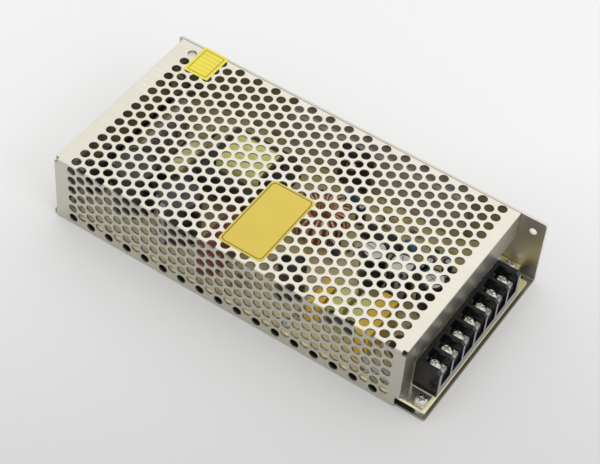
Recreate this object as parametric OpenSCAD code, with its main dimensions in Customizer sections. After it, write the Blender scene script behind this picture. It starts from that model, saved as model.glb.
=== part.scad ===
// Mesh case switching power supply: a folded chassis with a perforated folded cover,
// a printed board with its parts and a row of screw terminals at one end.
// X runs along the case with the terminals at +X, Y across it with the plain wall at +Y,
// Z up. The origin is the middle of the footprint, on the surface the case stands on.

/* [Case] */
// Length of the chassis
case_len = 199; // [196:1:215]
// Width over the cover's mesh side and the chassis wall
case_w = 98; // [97:1:110]
// Height of the case
case_h = 38; // [37:1:46]
// Thickness of the chassis sheet
chassis_t = 1.2; // [1:0.1:1.5]
// Outside radius of the chassis fold
chassis_bend = 2; // [1.8:0.1:3]
// Radius of the chassis corners in plan
chassis_corner = 1.2; // [0.5:0.1:3]
// Cut of the wall's upper corners
wall_corner = 1; // [0.5:0.1:2]

/* [Cover] */
// Thickness of the cover sheet
cover_t = 0.8; // [0.6:0.1:1]
// Outside radius of the cover's folds
cover_bend = 1.3; // [1.2:0.1:1.8]
// Distance from the closed end of the chassis to the cover's end wall
cover_inset = 2.4; // [2:0.1:4]
// Length of chassis left open in front of the cover at the terminals
terminal_bay = 12.8; // [12.6:0.1:16]
// Gap under the free edges of the cover
cover_gap = 0.3; // [0.2:0.1:0.6]
// Width of the flange beside the end lip
flange_w = 9.2; // [8:0.1:10]
// Width of the slit between the flange and the lip
flange_slit = 0.4; // [0.3:0.1:0.6]
// Size of the relief notches where folds meet
relief = 1.8; // [1.5:0.1:2.5]
// Length of the foot that the flange stands on
foot_len = 10.8; // [8:0.1:11]

/* [Mesh] */
// Diameter of one mesh hole
vent_d = 4.6; // [3.8:0.1:4.8]
// Distance between the holes of one column
vent_pitch = 6.2; // [6:0.1:7]
// Distance between neighbouring columns
column_pitch = 5.04; // [4.8:0.01:6]
// From the far edge of the case to the first hole centre
first_row = 4.24; // [4:0.01:6]
// Plain margin between the closed end and the first column of holes
left_margin = 9.5; // [8:0.1:12]
// Least plain margin between the last column of holes and the lip
right_margin = 7.5; // [6:0.1:10]
// Sheet length taken up by the fold between two rows of holes
fold_loss = 0.5; // [0.2:0.1:0.8]

/* [Board] */
// Height of the pressed-in standoffs
standoff_h = 3.6; // [3:0.1:5]
// Outside diameter of a standoff
standoff_d = 5.6; // [5:0.1:6]
// Thickness of the printed board
board_t = 1.6; // [1.2:0.1:2]
// Gap between the board's edge and the sheets beside it
board_gap = 0.3; // [0.2:0.1:0.5]
// Distance from the open end of the chassis to the board's edge
board_end = 0.6; // [0.4:0.1:1]
// Length of the notch in the board's far corner at the open end
notch_len = 7.6; // [6:0.1:9]
// Width of the notch in the board's far corner at the open end
notch_w = 7.2; // [6:0.1:8]
// Thickness of the insulating sheet on the chassis floor
sheet_t = 0.3; // [0.2:0.1:0.5]
// Thread diameter of the board and cover screws
screw_d = 3; // [2.5:0.1:3]
// Head diameter of the board and cover screws
screw_head_d = 5.6; // [5:0.1:6]
// Head height of the board and cover screws
screw_head_h = 2.4; // [1.8:0.1:2.4]

/* [Terminals] */
// Number of screw terminals
terminals = 7; // [3:1:7]
// Distance between neighbouring terminals
terminal_pitch = 9.5; // [9.5:0.1:9.8]
// Thickness of the barriers between the terminals
barrier_t = 1.6; // [1.2:0.1:2]
// Thickness added to the two end barriers
end_extra = 0.7; // [0.5:0.1:1]
// Depth of the block from the lip to its front
block_depth = 12; // [11.8:0.1:12]
// Height of the block over the board
block_h = 16.2; // [16:0.1:18]
// Height of the terminal floor over the board
floor_h = 7.6; // [7:0.1:8]
// Height of the front sill over the board
sill_h = 5; // [4:0.1:6]
// Depth of the sill in front of the contacts
sill_depth = 1.6; // [1.2:0.1:1.6]
// Thickness of the block's back wall
back_t = 2.1; // [1.8:0.1:2.2]
// Chamfer on the front top edge of the barriers
barrier_chamfer = 1.6; // [1:0.1:2]
// Gap between the foot of the cover and the terminal block
block_gap = 1.25; // [0.8:0.05:1.6]
// Thickness of the terminal contacts
contact_t = 1; // [0.8:0.1:1.2]
// Thickness of the clamp plates
clamp_t = 1; // [0.8:0.1:1.2]
// Reach of the clamp plates behind their screw
clamp_back = 3.5; // [3.3:0.1:3.6]
// Reach of the clamp plates in front of their screw
clamp_front = 4.3; // [3.6:0.1:4.4]
// Width and height of the ribs along the clamp plates' edges
clamp_rib = 0.5; // [0.4:0.05:0.5]
// Thickness of the split spring washers
spring_t = 0.9; // [0.7:0.1:1]
// Thread diameter of the terminal screws
terminal_thread = 3.5; // [3:0.1:3.5]
// Head diameter of the terminal screws
terminal_head_d = 6.2; // [5.8:0.1:6.4]
// Head height of the terminal screws
terminal_head_h = 2.6; // [2.2:0.1:2.8]
// Length of the terminal screws under the head
terminal_shank = 6; // [5.5:0.1:6.4]
// Radial running clearance round the terminal screws
running_gap = 0.05; // [0.02:0.01:0.1]

/* [Main transformer] */
// Length of the core along the case
core_len = 36; // [34:0.5:36]
// Width of the core across the case
core_w = 33; // [33:0.5:34]
// Thickness of the core
core_t = 12; // [10:0.5:12.5]
// Thickness of the core's outer limbs
core_limb = 5.2; // [4.5:0.1:5.5]
// Width of the core's middle limb
core_middle = 9.6; // [9:0.1:10]
// Width of the taped winding
winding_w = 20.4; // [19:0.1:20.8]
// Height of the taped winding
winding_h = 25; // [22:0.5:25]

/* [Large parts] */
// Diameter of the smoothing capacitors
bulk_d = 21; // [18:0.5:21]
// Height of the smoothing capacitors
bulk_h = 25.6; // [22:0.1:26.5]
// Outside diameter of the ring choke
ring_d = 27; // [24:0.5:27]
// Bore of the ring choke's winding
ring_bore = 10; // [9:0.5:11]
// Height of the ring choke
ring_h = 13; // [11:0.5:14]
// Wire diameter of the ring choke
ring_wire = 1.3; // [1:0.1:1.5]
// Number of turns on the ring choke
ring_turns = 22; // [16:1:24]
// Length of the heatsink bar
bar_len = 95; // [80:1:96]
// Thickness of the heatsink bar
bar_t = 3.5; // [3:0.1:3.6]
// Height of the heatsink bar
bar_h = 23.5; // [22:0.5:24]
// Thickness of the pad between the bar and the wall
pad_t = 0.3; // [0.2:0.1:0.4]
// Diameter of the output capacitors
output_d = 12.5; // [10:0.5:12.5]
// Height of the output capacitors
output_h = 21; // [18:0.5:25]

/* [Labels] */
// Width of the large label
label_w = 23; // [20:0.5:26]
// Length of the large label
label_len = 43; // [38:0.5:46]
// Corner radius of the large label
label_corner = 2; // [1:0.1:3]
// Width of the seal label
seal_w = 13.6; // [12:0.1:15]
// Length of the seal label on the cover
seal_len = 18; // [15:0.5:20]
// Length of the seal label on the wall
seal_drop = 4; // [3:0.5:6]
// Thickness of both labels
label_t = 0.1; // [0.08:0.01:0.15]

/* [Mounting] */
// Diameter of the mounting holes
mount_d = 3.6; // [3.3:0.1:4]
// Distance between the floor holes along the case
floor_span_x = 150; // [140:1:154]
// Distance between the floor holes across the case
floor_span_y = 50; // [46:1:54]
// Distance from the wall's ends to its mounting holes
wall_hole_in = 5.7; // [5:0.1:7]
// Distance from the wall's top to its mounting holes
wall_hole_down = 7.5; // [6:0.1:9]

/* [Parts on the board] */
// Gap between wound parts and their neighbours
part_gap = 2.4; // [1.8:0.1:3]
// Trimmer body across
trimmer_d = 6; // [5:0.1:6.4]
// Trimmer body height
trimmer_h = 4.6; // [4:0.1:6]
// Trimmer rotor across
rotor_d = 3.4; // [3:0.1:4]
// Trimmer rotor height
rotor_h = 1.6; // [1.2:0.1:2]
// Lamp across
lamp_d = 3; // [2.8:0.1:3.2]
// Small transformer core length
driver_len = 26; // [24:0.5:28]
// Small transformer core width
driver_w = 16.6; // [15:0.2:18]
// Small transformer core thickness
driver_t = 6; // [5:0.2:7]
// Small transformer outer limbs
driver_limb = 2.8; // [2.4:0.1:3.2]
// Small transformer middle limb
driver_middle = 4.8; // [4.4:0.1:5.4]
// Small transformer winding width
driver_coil_w = 8.6; // [7.6:0.1:9.4]
// Small transformer winding height
driver_coil_h = 17; // [15:0.2:18]
// Heat sink plate thickness
plate_t = 2.5; // [2:0.1:3]
// Heat sink plate length
plate_len = 34; // [32:0.5:36]
// Heat sink plate height
plate_h = 22; // [21:0.5:24]
// Switching transistor width
package_w = 10; // [9.6:0.1:10.4]
// Switching transistor thickness
package_t = 4.5; // [4.2:0.1:4.8]
// Rectifier package width
rectifier_w = 15.8; // [15.4:0.1:16.2]
// Rectifier package height
rectifier_h = 20.6; // [20:0.1:21]
// Rectifier package thickness
rectifier_t = 5; // [4.8:0.1:5.2]
// Bridge rectifier width
bridge_w = 22; // [20:0.5:24]
// Bridge rectifier height
bridge_h = 17; // [15:0.5:18]
// Bridge rectifier thickness
bridge_t = 3.6; // [3.4:0.1:4.2]
// Gap between the output capacitors
output_gap = 1.4; // [1:0.1:1.6]
// Auxiliary capacitor across
auxiliary_d = 13; // [12:0.1:13.5]
// Auxiliary capacitor height
auxiliary_h = 20; // [18:0.5:21]
// Small capacitors across
small_d = 5; // [4.6:0.1:5.2]
// Small capacitor height
small_h = 11; // [10:0.5:12]
// Resistor body length
resistor_len = 6.5; // [6:0.1:7]
// Resistor body across
resistor_d = 2.4; // [2.2:0.1:2.6]
// Diode body length
diode_len = 5; // [4.6:0.1:5.4]
// Diode body across
diode_d = 2.6; // [2.4:0.1:2.8]
// Filter choke core length
filter_len = 21; // [20:0.2:22]
// Filter choke core width
filter_w = 13.4; // [13:0.1:13.8]
// Filter choke limbs
filter_limb = 3.4; // [3:0.1:3.6]
// Filter coil width
coil_w = 8; // [7.6:0.1:8.2]
// Filter coil height
coil_h = 14; // [12:0.2:16]
// First suppression capacitor
film_1 = [6, 17, 12.5];
// Second suppression capacitor
film_2 = [8, 25.5, 17.5];
// Red-brown film capacitor
film_3 = [9.5, 26.5, 17.6];
// Thickness of the disc capacitors
disc_t = 3; // [2.6:0.1:3.4]
// Height of a disc above the board
disc_lift = 1.5; // [1:0.1:2]
// Thermistor across
thermistor_d = 13; // [12:0.1:13.5]
// Thermistor thickness
thermistor_t = 4.5; // [4:0.1:5]
// Fuse across its caps
fuse_d = 5.2; // [5:0.1:5.4]
// Fuse length
fuse_len = 20; // [19:0.1:21]
// Wall of the fuse clips
clip_t = 0.4; // [0.3:0.1:0.5]
// Control chip length
chip_len = 19.6; // [19:0.1:20]
// Control chip width
chip_w = 6.4; // [6:0.1:6.8]

/* [Hidden] */
$fn = 48;
eps = 0.01;

// Case edges
x_left = -case_len / 2;
x_right = case_len / 2;
y_near = -case_w / 2;
y_far = case_w / 2;
wall_inner = y_far - chassis_t;

// Cover edges
cover_left = x_left + cover_inset;
cover_right = x_right - terminal_bay;
cover_far = wall_inner - cover_gap;
flange_edge = y_near + flange_w;

// Board levels and edges
board_z = chassis_t + standoff_h;
board_top = board_z + board_t;
board_left = cover_left + cover_t + chassis_t + board_gap;
board_right = x_right - board_end;
board_near = y_near + cover_t + board_gap;
board_far = wall_inner - board_gap;

// Terminal block
block_back = cover_right + 0.2;
block_front = block_back + block_depth;
block_top = board_top + block_h;
block_floor = board_top + floor_h;
contact_top = block_floor + contact_t;
bay_w = terminal_pitch - barrier_t;
contact_front = block_front - sill_depth;
contact_back = block_back + back_t;
terminal_x = (contact_front + contact_back) / 2 - 0.4;
screw_seat = contact_top + clamp_t + spring_t;
lip_bottom = block_top + 0.2;
contact_w = bay_w - 0.4;
clamp_w = bay_w - 0.7;
tail_x = contact_back + 0.8;
tail_w = 2;
tail_t = 0.8;

// A place on the board, as shares of half the case's length and width from its middle
function on_board(u, v) = [u * case_len / 2, v * case_w / 2];
function step(place, dx, dy) = [place[0] + dx, place[1] + dy];

// Screws of the board, the first one through the cover's foot
foot_screw = [x_right - 4.5, y_near + 4.3];
screw_places = [
  foot_screw,
  [x_right - 11.5, y_far - 5.2],
  [x_left + 10.5, y_near + 5.5],
  [x_left + 10.5, y_far - 5.5],
  [0.26 * case_len / 2, y_near + 5.2]
];

// Input side, from the closed end
bridge_at = on_board(-0.869, -0.55);
bulk_1_at = on_board(-0.698, -0.535);
bulk_2_at = on_board(-0.438, -0.584);
film_at = on_board(-0.193, -0.608);
transformer_at = on_board(-0.317, 0.184);
driver_at = [transformer_at[0] - core_len / 2 - part_gap - driver_w / 2,
             bulk_1_at[1] + bulk_d / 2 + part_gap + driver_len / 2];
primary_at = [driver_at[0] - driver_w / 2 - 8, 0.12 * case_w / 2];

// Output side
ring_at = on_board(0.065, 0.255);
output_2_at = on_board(0.56, 0);
output_places = [
  step(output_2_at, -output_d - output_gap, -0.4), output_2_at, step(output_2_at, output_d + 2.8, 0.6)
];
auxiliary_at = on_board(0.171, -0.571);
small_places = [
  on_board(0.196, 0.52), on_board(0.216, 0.01), on_board(0.613, 0.347),
  on_board(0.683, 0.429), on_board(0.749, 0.327)
];
bar_at = 0.146 * case_len / 2;
rectifier_x = 0.054 * case_len / 2;
chip_at = on_board(0.34, 0.439);

// Fuse beside the cover's flange, and the filter parts beside one another
fuse_y = board_near + 3.6;
fuse_right = cover_right - cover_t - 1.4;
filter_at = on_board(0.47, -0.51);
filter_reach = (filter_w - filter_limb) / 2 + coil_w / 2;
suppression_1_at = [filter_at[0] - filter_reach - 1.2 - film_1[0] / 2, filter_at[1] - 3];
suppression_2_at = [filter_at[0] + filter_reach + 1 + film_2[0] / 2,
                    fuse_y + fuse_d / 2 + clip_t + 0.3 + film_2[1] / 2];
thermistor_at = on_board(0.774, -0.633);

// Small parts
disc_places = [
  [on_board(0.118, 0.645), 0, 8], [on_board(0.477, 0.449), 0, 7],
  [[driver_at[0] - driver_w / 2 - 1 - disc_t / 2, -0.133 * case_w / 2], 90, 7],
  [on_board(0.578, 0.257), 90, 6]
];
resistor_places = [
  [on_board(-0.04, -0.816), 0], [on_board(-0.04, -0.714), 0], [on_board(-0.04, -0.408), 90],
  [on_board(0.02, -0.408), 90], [on_board(0.08, -0.367), 90], [on_board(0.271, -0.408), 90],
  [on_board(0.271, -0.735), 90], [on_board(0.3, 0.694), 0], [on_board(0.442, 0.694), 0],
  [on_board(0.3, 0.612), 0], [on_board(-0.362, 0.776), 0], [on_board(-0.503, 0.735), 90],
  [on_board(0.734, -0.286), 0], [on_board(0.844, -0.408), 90]
];
diode_places = [
  [on_board(-0.583, 0.694), 0], [on_board(-0.663, 0.612), 90], [on_board(0.246, 0.19), 90],
  [on_board(0.29, 0.19), 90], [on_board(0.583, 0.612), 0], [on_board(0.83, 0.408), 90]
];

// Columns of mesh holes
first_column = cover_left + left_margin;
columns = floor((cover_right - right_margin - first_column) / column_pitch) + 1;
function column_x(i) = first_column + i * column_pitch;
// Distance of hole k from the far edge along the flat sheet, in column i
function hole_s(i, k) = first_row + vent_pitch * (k + (i % 2 == 0 ? 0.5 : 0));

// Terminal block, trimmer and lamp
block_half = terminals * terminal_pitch / 2 + barrier_t / 2 + end_extra;
terminal_mid = flange_edge + block_gap + block_half;
// The trimmer stands under a hole of the last column, through which a screwdriver reaches it
trimmer_at = [column_x(columns - 1), y_far - hole_s(columns - 1, 2)];
led_at = [x_right - 16.9, y_far - 7.4];

// A box given by its low and high corners
module block(low, high) {
  translate(low) cube([high[0] - low[0], high[1] - low[1], high[2] - low[2]]);
}

// A rectangle with round corners, centred
module rounded_rect(size, r) {
  square([size[0] - 2 * r, size[1]], center = true);
  square([size[0], size[1] - 2 * r], center = true);
  for (sx = [-1, 1], sy = [-1, 1])
    translate([sx * (size[0] / 2 - r), sy * (size[1] / 2 - r)]) circle(r);
}

// A box with round upright edges, standing on z = 0
module rounded_box(size, r) {
  linear_extrude(size[2]) rounded_rect([size[0], size[1]], r);
}

// The section of a fold: a quarter of a ring, on the side of the centre given by the signs
module quarter(r, t, side_x, side_y) {
  intersection() {
    difference() {
      circle(r);
      circle(r - t);
    }
    translate([side_x < 0 ? -r : 0, side_y < 0 ? -r : 0]) square(r);
  }
}

// A pan head screw along -Z with its head's seat at z = 0
module pan_screw(thread, shank, head_d, head_h) {
  difference() {
    union() {
      rotate_extrude() polygon([
        [0, 0], [head_d / 2, 0], [head_d / 2, head_h * 0.55], [head_d * 0.42, head_h * 0.85],
        [head_d * 0.28, head_h], [0, head_h]
      ]);
      translate([0, 0, -shank]) cylinder(d = thread, h = shank + eps);
    }
    for (turn = [0, 90]) rotate(turn)
      translate([-head_d * 0.29, -head_d * 0.065, head_h * 0.45])
        cube([head_d * 0.58, head_d * 0.13, head_h]);
  }
}

// ---------------------------------------------------------------- sheet metal

module chassis() {
  color("#c9cac8") difference() {
    union() {
      // Floor
      translate([0, 0, 0]) linear_extrude(chassis_t) difference() {
        translate([x_left, y_near + cover_t]) square([case_len, case_w - cover_t - chassis_bend]);
        for (end = [-1, 1]) translate([end * x_right, y_near + cover_t]) difference() {
          square(2 * chassis_corner, center = true);
          translate([-end * chassis_corner, chassis_corner]) circle(chassis_corner);
        }
      }
      // Fold between the floor and the wall
      translate([x_left, y_far - chassis_bend, chassis_bend]) rotate([90, 0, 90])
        linear_extrude(case_len) quarter(chassis_bend, chassis_t, 1, -1);
      // Wall, with its upper corners cut
      translate([0, y_far, 0]) rotate([90, 0, 0]) linear_extrude(chassis_t) polygon([
        [x_left, chassis_bend], [x_right, chassis_bend], [x_right, case_h - wall_corner],
        [x_right - wall_corner, case_h], [x_left + wall_corner, case_h], [x_left, case_h - wall_corner]
      ]);
      // Ear of the floor inside the cover's end wall
      block([ear_x, ear_near[0], chassis_t - eps], [ear_x + chassis_t, ear_near[1], ear_top]);
      // Ear of the wall inside the cover's end wall
      block([ear_x, ear_far[0], ear_foot], [ear_x + chassis_t, wall_inner + eps, ear_top]);
      // Tab under the far edge of the cover
      block([tab_x, wall_inner - tab_w, tab_top - chassis_t], [tab_x + tab_len, wall_inner + eps, tab_top]);
    }
    for (place = screw_places) translate([place[0], place[1], -eps])
      cylinder(d = standoff_d - 1.2 + running_gap, h = chassis_t + 2 * eps);
    for (sx = [-1, 1], sy = [-1, 1])
      translate([sx * floor_span_x / 2, sy * floor_span_y / 2, -eps])
        cylinder(d = mount_d, h = chassis_t + 2 * eps);
    for (end = [-1, 1])
      translate([end * (x_right - wall_hole_in), y_far + eps, case_h - wall_hole_down])
        rotate([90, 0, 0]) cylinder(d = mount_d, h = chassis_t + 2 * eps);
    for (y = ear_screws) translate([ear_x - eps, y, ear_screw_z])
      rotate([0, 90, 0]) cylinder(d = screw_d + 2 * running_gap, h = chassis_t + 2 * eps);
  }
}

ear_x = cover_left + cover_t;
ear_near = [y_near + 10, y_near + 22];
ear_far = [wall_inner - 12, wall_inner];
ear_foot = chassis_t + 6;
ear_top = case_h - 12;
ear_screws = [y_near + 16, wall_inner - 6];
ear_screw_z = case_h - 19;
tab_x = x_left + 7;
tab_len = 14;
tab_w = 9;
tab_top = case_h - cover_t;

// Height on the mesh side of a hole at distance s along the flat sheet
function side_z(s) = case_h + case_w - s - fold_loss;
rows = floor((case_w + case_h) / vent_pitch);

module top_holes() {
  for (i = [0:columns - 1], k = [0:rows]) if (hole_s(i, k) < case_w)
    translate([column_x(i), y_far - hole_s(i, k)]) circle(d = vent_d);
}

// Drawn in X and Z
module side_holes() {
  for (i = [0:columns - 1], k = [0:rows])
    if (hole_s(i, k) > case_w - vent_d && side_z(hole_s(i, k)) > vent_d / 2 + cover_gap + 1)
      translate([column_x(i), side_z(hole_s(i, k))]) circle(d = vent_d);
}

// The parts of the holes that lie in the long fold
module fold_holes() {
  for (i = [0:columns - 1], k = [0:rows]) {
    s = hole_s(i, k);
    if (s < case_w && s > case_w - cover_bend - vent_d / 2)
      translate([column_x(i), y_far - s, case_h - cover_bend]) cylinder(d = vent_d, h = 2 * cover_bend);
    if (s > case_w - vent_d && side_z(s) > case_h - cover_bend - vent_d / 2)
      translate([column_x(i), y_near + cover_bend, side_z(s)])
        rotate([90, 0, 0]) cylinder(d = vent_d, h = 2 * cover_bend);
  }
}

module cover() {
  top_len = cover_right - cover_left - 2 * cover_bend;
  end_w = cover_far - y_near - relief;
  color("#e2ded0") {
    // Top sheet
    translate([0, 0, case_h - cover_t]) linear_extrude(cover_t) difference() {
      translate([cover_left + cover_bend, y_near + cover_bend])
        square([top_len, cover_far - y_near - cover_bend]);
      top_holes();
    }
    // Mesh side
    translate([0, y_near + cover_t, 0]) rotate([90, 0, 0]) linear_extrude(cover_t) difference() {
      translate([cover_left, cover_gap])
        square([cover_right - cover_bend - cover_left, case_h - cover_bend - cover_gap]);
      translate([cover_left - eps, case_h - relief]) square(relief);
      translate([cover_right - cover_bend - relief * 0.4, case_h - relief]) square(relief);
      translate([cover_right - side_step, 0]) square([side_step, flange_foot]);
      side_holes();
    }
    // Long fold
    difference() {
      translate([cover_left + relief, y_near + cover_bend, case_h - cover_bend]) rotate([90, 0, 90])
        linear_extrude(cover_right - cover_left - 2 * relief) quarter(cover_bend, cover_t, -1, 1);
      fold_holes();
    }
    // Folds at both ends of the top
    for (end = [-1, 1], x = end < 0 ? cover_left + cover_bend : cover_right - cover_bend)
      translate([x, cover_far, case_h - cover_bend]) rotate([90, 0, 0]) linear_extrude(end_w) quarter(cover_bend, cover_t, end, 1);
    // Closed end wall
    difference() {
      block([cover_left, y_near + relief, chassis_t + cover_gap],
            [cover_left + cover_t, cover_far, case_h - cover_bend]);
      for (y = ear_screws) translate([cover_left - eps, y, ear_screw_z])
        rotate([0, 90, 0]) cylinder(d = screw_d + 0.4, h = cover_t + 2 * eps);
    }
    // Lip over the terminal block
    block([cover_right - cover_t, flange_edge + flange_slit, lip_bottom],
          [cover_right, cover_far, case_h - cover_bend]);
    // Flange beside the lip, with its upright fold and the fold of its foot
    block([cover_right - cover_t, y_near + cover_bend, board_top + foot_bend],
          [cover_right, flange_edge, case_h - relief]);
    translate([cover_right - cover_bend, y_near + cover_bend, flange_foot])
      linear_extrude(case_h - relief - flange_foot) quarter(cover_bend, cover_t, 1, -1);
    translate([cover_right + foot_bend - cover_t, flange_edge, board_top + foot_bend]) rotate([90, 0, 0])
      linear_extrude(flange_edge - y_near - cover_bend) quarter(foot_bend, cover_t, -1, -1);
    // Foot on the board
    difference() {
      block([cover_right + foot_bend - cover_t, y_near + cover_bend, board_top],
            [cover_right + foot_len, flange_edge, board_top + cover_t]);
      translate([foot_screw[0], foot_screw[1], board_top - eps])
        cylinder(d = screw_d + 0.4, h = cover_t + 2 * eps);
    }
  }
}

// Outside radius of the foot's fold
foot_bend = cover_t + 0.6;
// Underside of the upright fold
flange_foot = board_top + cover_gap;
// The mesh side's lower edge steps up this far before the flange
side_step = 2.1;

module insulating_sheet() {
  color("#23272b") translate([0, 0, chassis_t]) linear_extrude(sheet_t) difference() {
    translate([board_left, board_near]) square([board_right - board_left - 4, board_far - board_near - 1.5]);
    for (place = screw_places) translate(place) circle(d = standoff_d + 1);
    for (sx = [-1, 1], sy = [-1, 1])
      translate([sx * floor_span_x / 2, sy * floor_span_y / 2]) circle(d = mount_d + 6);
  }
}

module standoffs() {
  color("#b9bcbc") for (place = screw_places) translate([place[0], place[1], 0]) difference() {
    union() {
      cylinder(d = standoff_d - 1.2, h = chassis_t);
      translate([0, 0, chassis_t]) cylinder(d = standoff_d, h = standoff_h);
    }
    translate([0, 0, -eps]) cylinder(d = screw_d + 2 * running_gap, h = board_z + 2 * eps);
  }
}

module board_screws() {
  color("#d6d7d5") for (i = [0:len(screw_places) - 1]) {
    seat = board_top + (i == 0 ? cover_t : 0);
    translate([screw_places[i][0], screw_places[i][1], seat])
      pan_screw(screw_d, seat - board_z + 3, screw_head_d, screw_head_h);
  }
}

module cover_screws() {
  color("#d6d7d5") for (y = ear_screws) translate([cover_left, y, ear_screw_z])
    rotate([0, -90, 0]) pan_screw(screw_d, 5, screw_head_d, min(screw_head_h, cover_inset - 0.3));
}

// ---------------------------------------------------------------- board

module circuit_board() {
  color("#c2a45c") translate([0, 0, board_z]) linear_extrude(board_t) difference() {
    translate([board_left, board_near]) square([board_right - board_left, board_far - board_near]);
    translate([x_right - notch_len, y_far - notch_w - chassis_t])
      square([notch_len + 1, notch_w + chassis_t + 1]);
    for (place = screw_places) translate(place) circle(d = screw_d + 0.4);
    for (i = [0:terminals - 1]) translate([tail_x, terminal_y(i)])
      square([tail_t + 0.4, tail_w + 0.4], center = true);
  }
}

function terminal_y(i) = terminal_mid + (i - (terminals - 1) / 2) * terminal_pitch;

module terminal_block() {
  half = terminals * terminal_pitch / 2 + barrier_t / 2;
  color("#1c1c1e") {
    difference() {
      union() {
        block([block_back, terminal_mid - half, board_top],
              [contact_front, terminal_mid + half, block_floor]);
        block([contact_front - eps, terminal_mid - half, board_top],
              [block_front, terminal_mid + half, board_top + sill_h]);
        block([block_back, terminal_mid - half, block_floor - eps],
              [contact_back - 0.2, terminal_mid + half, block_top]);
        for (i = [0:terminals]) {
          extra = i == 0 || i == terminals ? end_extra : 0;
          low = terminal_mid + (i - terminals / 2) * terminal_pitch - barrier_t / 2;
          translate([0, low + barrier_t + (i == 0 ? 0 : extra), 0]) rotate([90, 0, 0])
            linear_extrude(barrier_t + extra) polygon([
              [block_back, board_top], [block_front, board_top],
              [block_front, block_top - barrier_chamfer],
              [block_front - barrier_chamfer, block_top], [block_back, block_top]
            ]);
        }
      }
      for (i = [0:terminals - 1]) {
        translate([terminal_x, terminal_y(i), screw_seat - terminal_shank - 0.5])
          cylinder(d = terminal_thread + 2, h = terminal_shank);
        translate([tail_x - tail_t / 2 - 0.1, terminal_y(i) - tail_w / 2 - 0.1, board_top - eps])
          cube([tail_t + 0.2, tail_w + 0.2, floor_h + 2 * eps]);
      }
    }
  }
}

module terminal_contacts() {
  color("#cfccc2") for (i = [0:terminals - 1]) translate([0, terminal_y(i), 0]) {
    difference() {
      union() {
        block([contact_back, -contact_w / 2, block_floor], [contact_front, contact_w / 2, contact_top]);
        translate([terminal_x, 0, block_floor - 1.5]) cylinder(d = terminal_thread + 1.8, h = 1.6);
      }
      translate([terminal_x, 0, block_floor - 2])
        cylinder(d = terminal_thread + 2 * running_gap, h = contact_t + 3);
    }
    block([tail_x - tail_t / 2, -tail_w / 2, board_z - 1.4],
          [tail_x + tail_t / 2, tail_w / 2, block_floor + eps]);
  }
}

module clamp_washer(i) {
  bore = terminal_thread + 3 * running_gap;
  color("#d8d6ce") translate([terminal_x, terminal_y(i), contact_top]) {
    difference() {
      union() {
        block([-clamp_back, -clamp_w / 2, 0], [clamp_front, clamp_w / 2, clamp_t]);
        for (side = [-1, 1]) translate([0, side * (clamp_w - clamp_rib) / 2, clamp_t])
          block([-clamp_back, -clamp_rib / 2, -eps], [clamp_front, clamp_rib / 2, clamp_rib]);
        block([clamp_front - 0.8, -clamp_w / 2, clamp_t - eps],
              [clamp_front, clamp_w / 2, clamp_t + clamp_rib]);
      }
      translate([0, 0, -eps]) cylinder(d = bore, h = clamp_t + 2 * eps);
    }
    translate([0, 0, clamp_t]) difference() {
      cylinder(d = terminal_head_d - 0.2, h = spring_t);
      translate([0, 0, -eps]) cylinder(d = bore, h = spring_t + 2 * eps);
      rotate(20) translate([0, -0.25, -eps]) cube([terminal_head_d, 0.5, spring_t + 2 * eps]);
    }
  }
}

module terminal_screw(i) {
  color("#d8d6ce") translate([terminal_x, terminal_y(i), screw_seat])
    rotate(35 + 40 * i) pan_screw(terminal_thread, terminal_shank, terminal_head_d, terminal_head_h);
}

// ---------------------------------------------------------------- controls

module trimmer_body() {
  color("#2f6fae") translate([trimmer_at[0], trimmer_at[1], board_top]) difference() {
    rounded_box([trimmer_d + 0.8, trimmer_d, trimmer_h], 0.6);
    translate([0, 0, trimmer_h - rotor_h]) cylinder(d = rotor_d + 0.1, h = rotor_h + 1);
  }
}

module trimmer_rotor() {
  color("#e8e4d8") translate([trimmer_at[0], trimmer_at[1], board_top + trimmer_h - rotor_h]) difference() {
    cylinder(d = rotor_d, h = rotor_h + 0.4);
    for (turn = [0, 90]) rotate(turn)
      translate([-rotor_d * 0.36, -0.3, rotor_h - 0.5]) cube([rotor_d * 0.72, 0.6, 2]);
  }
}

module power_led() {
  color("#c8d6ee") translate([led_at[0], led_at[1], board_top]) {
    cylinder(d = lamp_d + 0.8, h = 1);
    cylinder(d = lamp_d, h = 3.4);
    intersection() {
      translate([0, 0, 3.4]) sphere(d = lamp_d);
      cylinder(d = lamp_d + 1, h = 3.4 + lamp_d);
    }
  }
}

// ---------------------------------------------------------------- wound parts

// A ring core with a middle limb, lying flat, centred
module limb_core(length, width, t, limb, middle) {
  linear_extrude(t, center = true) difference() {
    square([length, width], center = true);
    for (side = [-1, 1]) translate([0, side * (middle / 2 + (width / 2 - limb - middle / 2) / 2)])
      square([length - 2 * limb, width / 2 - limb - middle / 2], center = true);
  }
}

transformer_mid = board_top + 1.6 + winding_h / 2;
winding_len = core_len - 2 * core_limb - 2.4;

module transformer_core() {
  color("#2a2a2c") translate([transformer_at[0], transformer_at[1], transformer_mid])
    limb_core(core_len, core_w, core_t, core_limb, core_middle);
}

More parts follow.
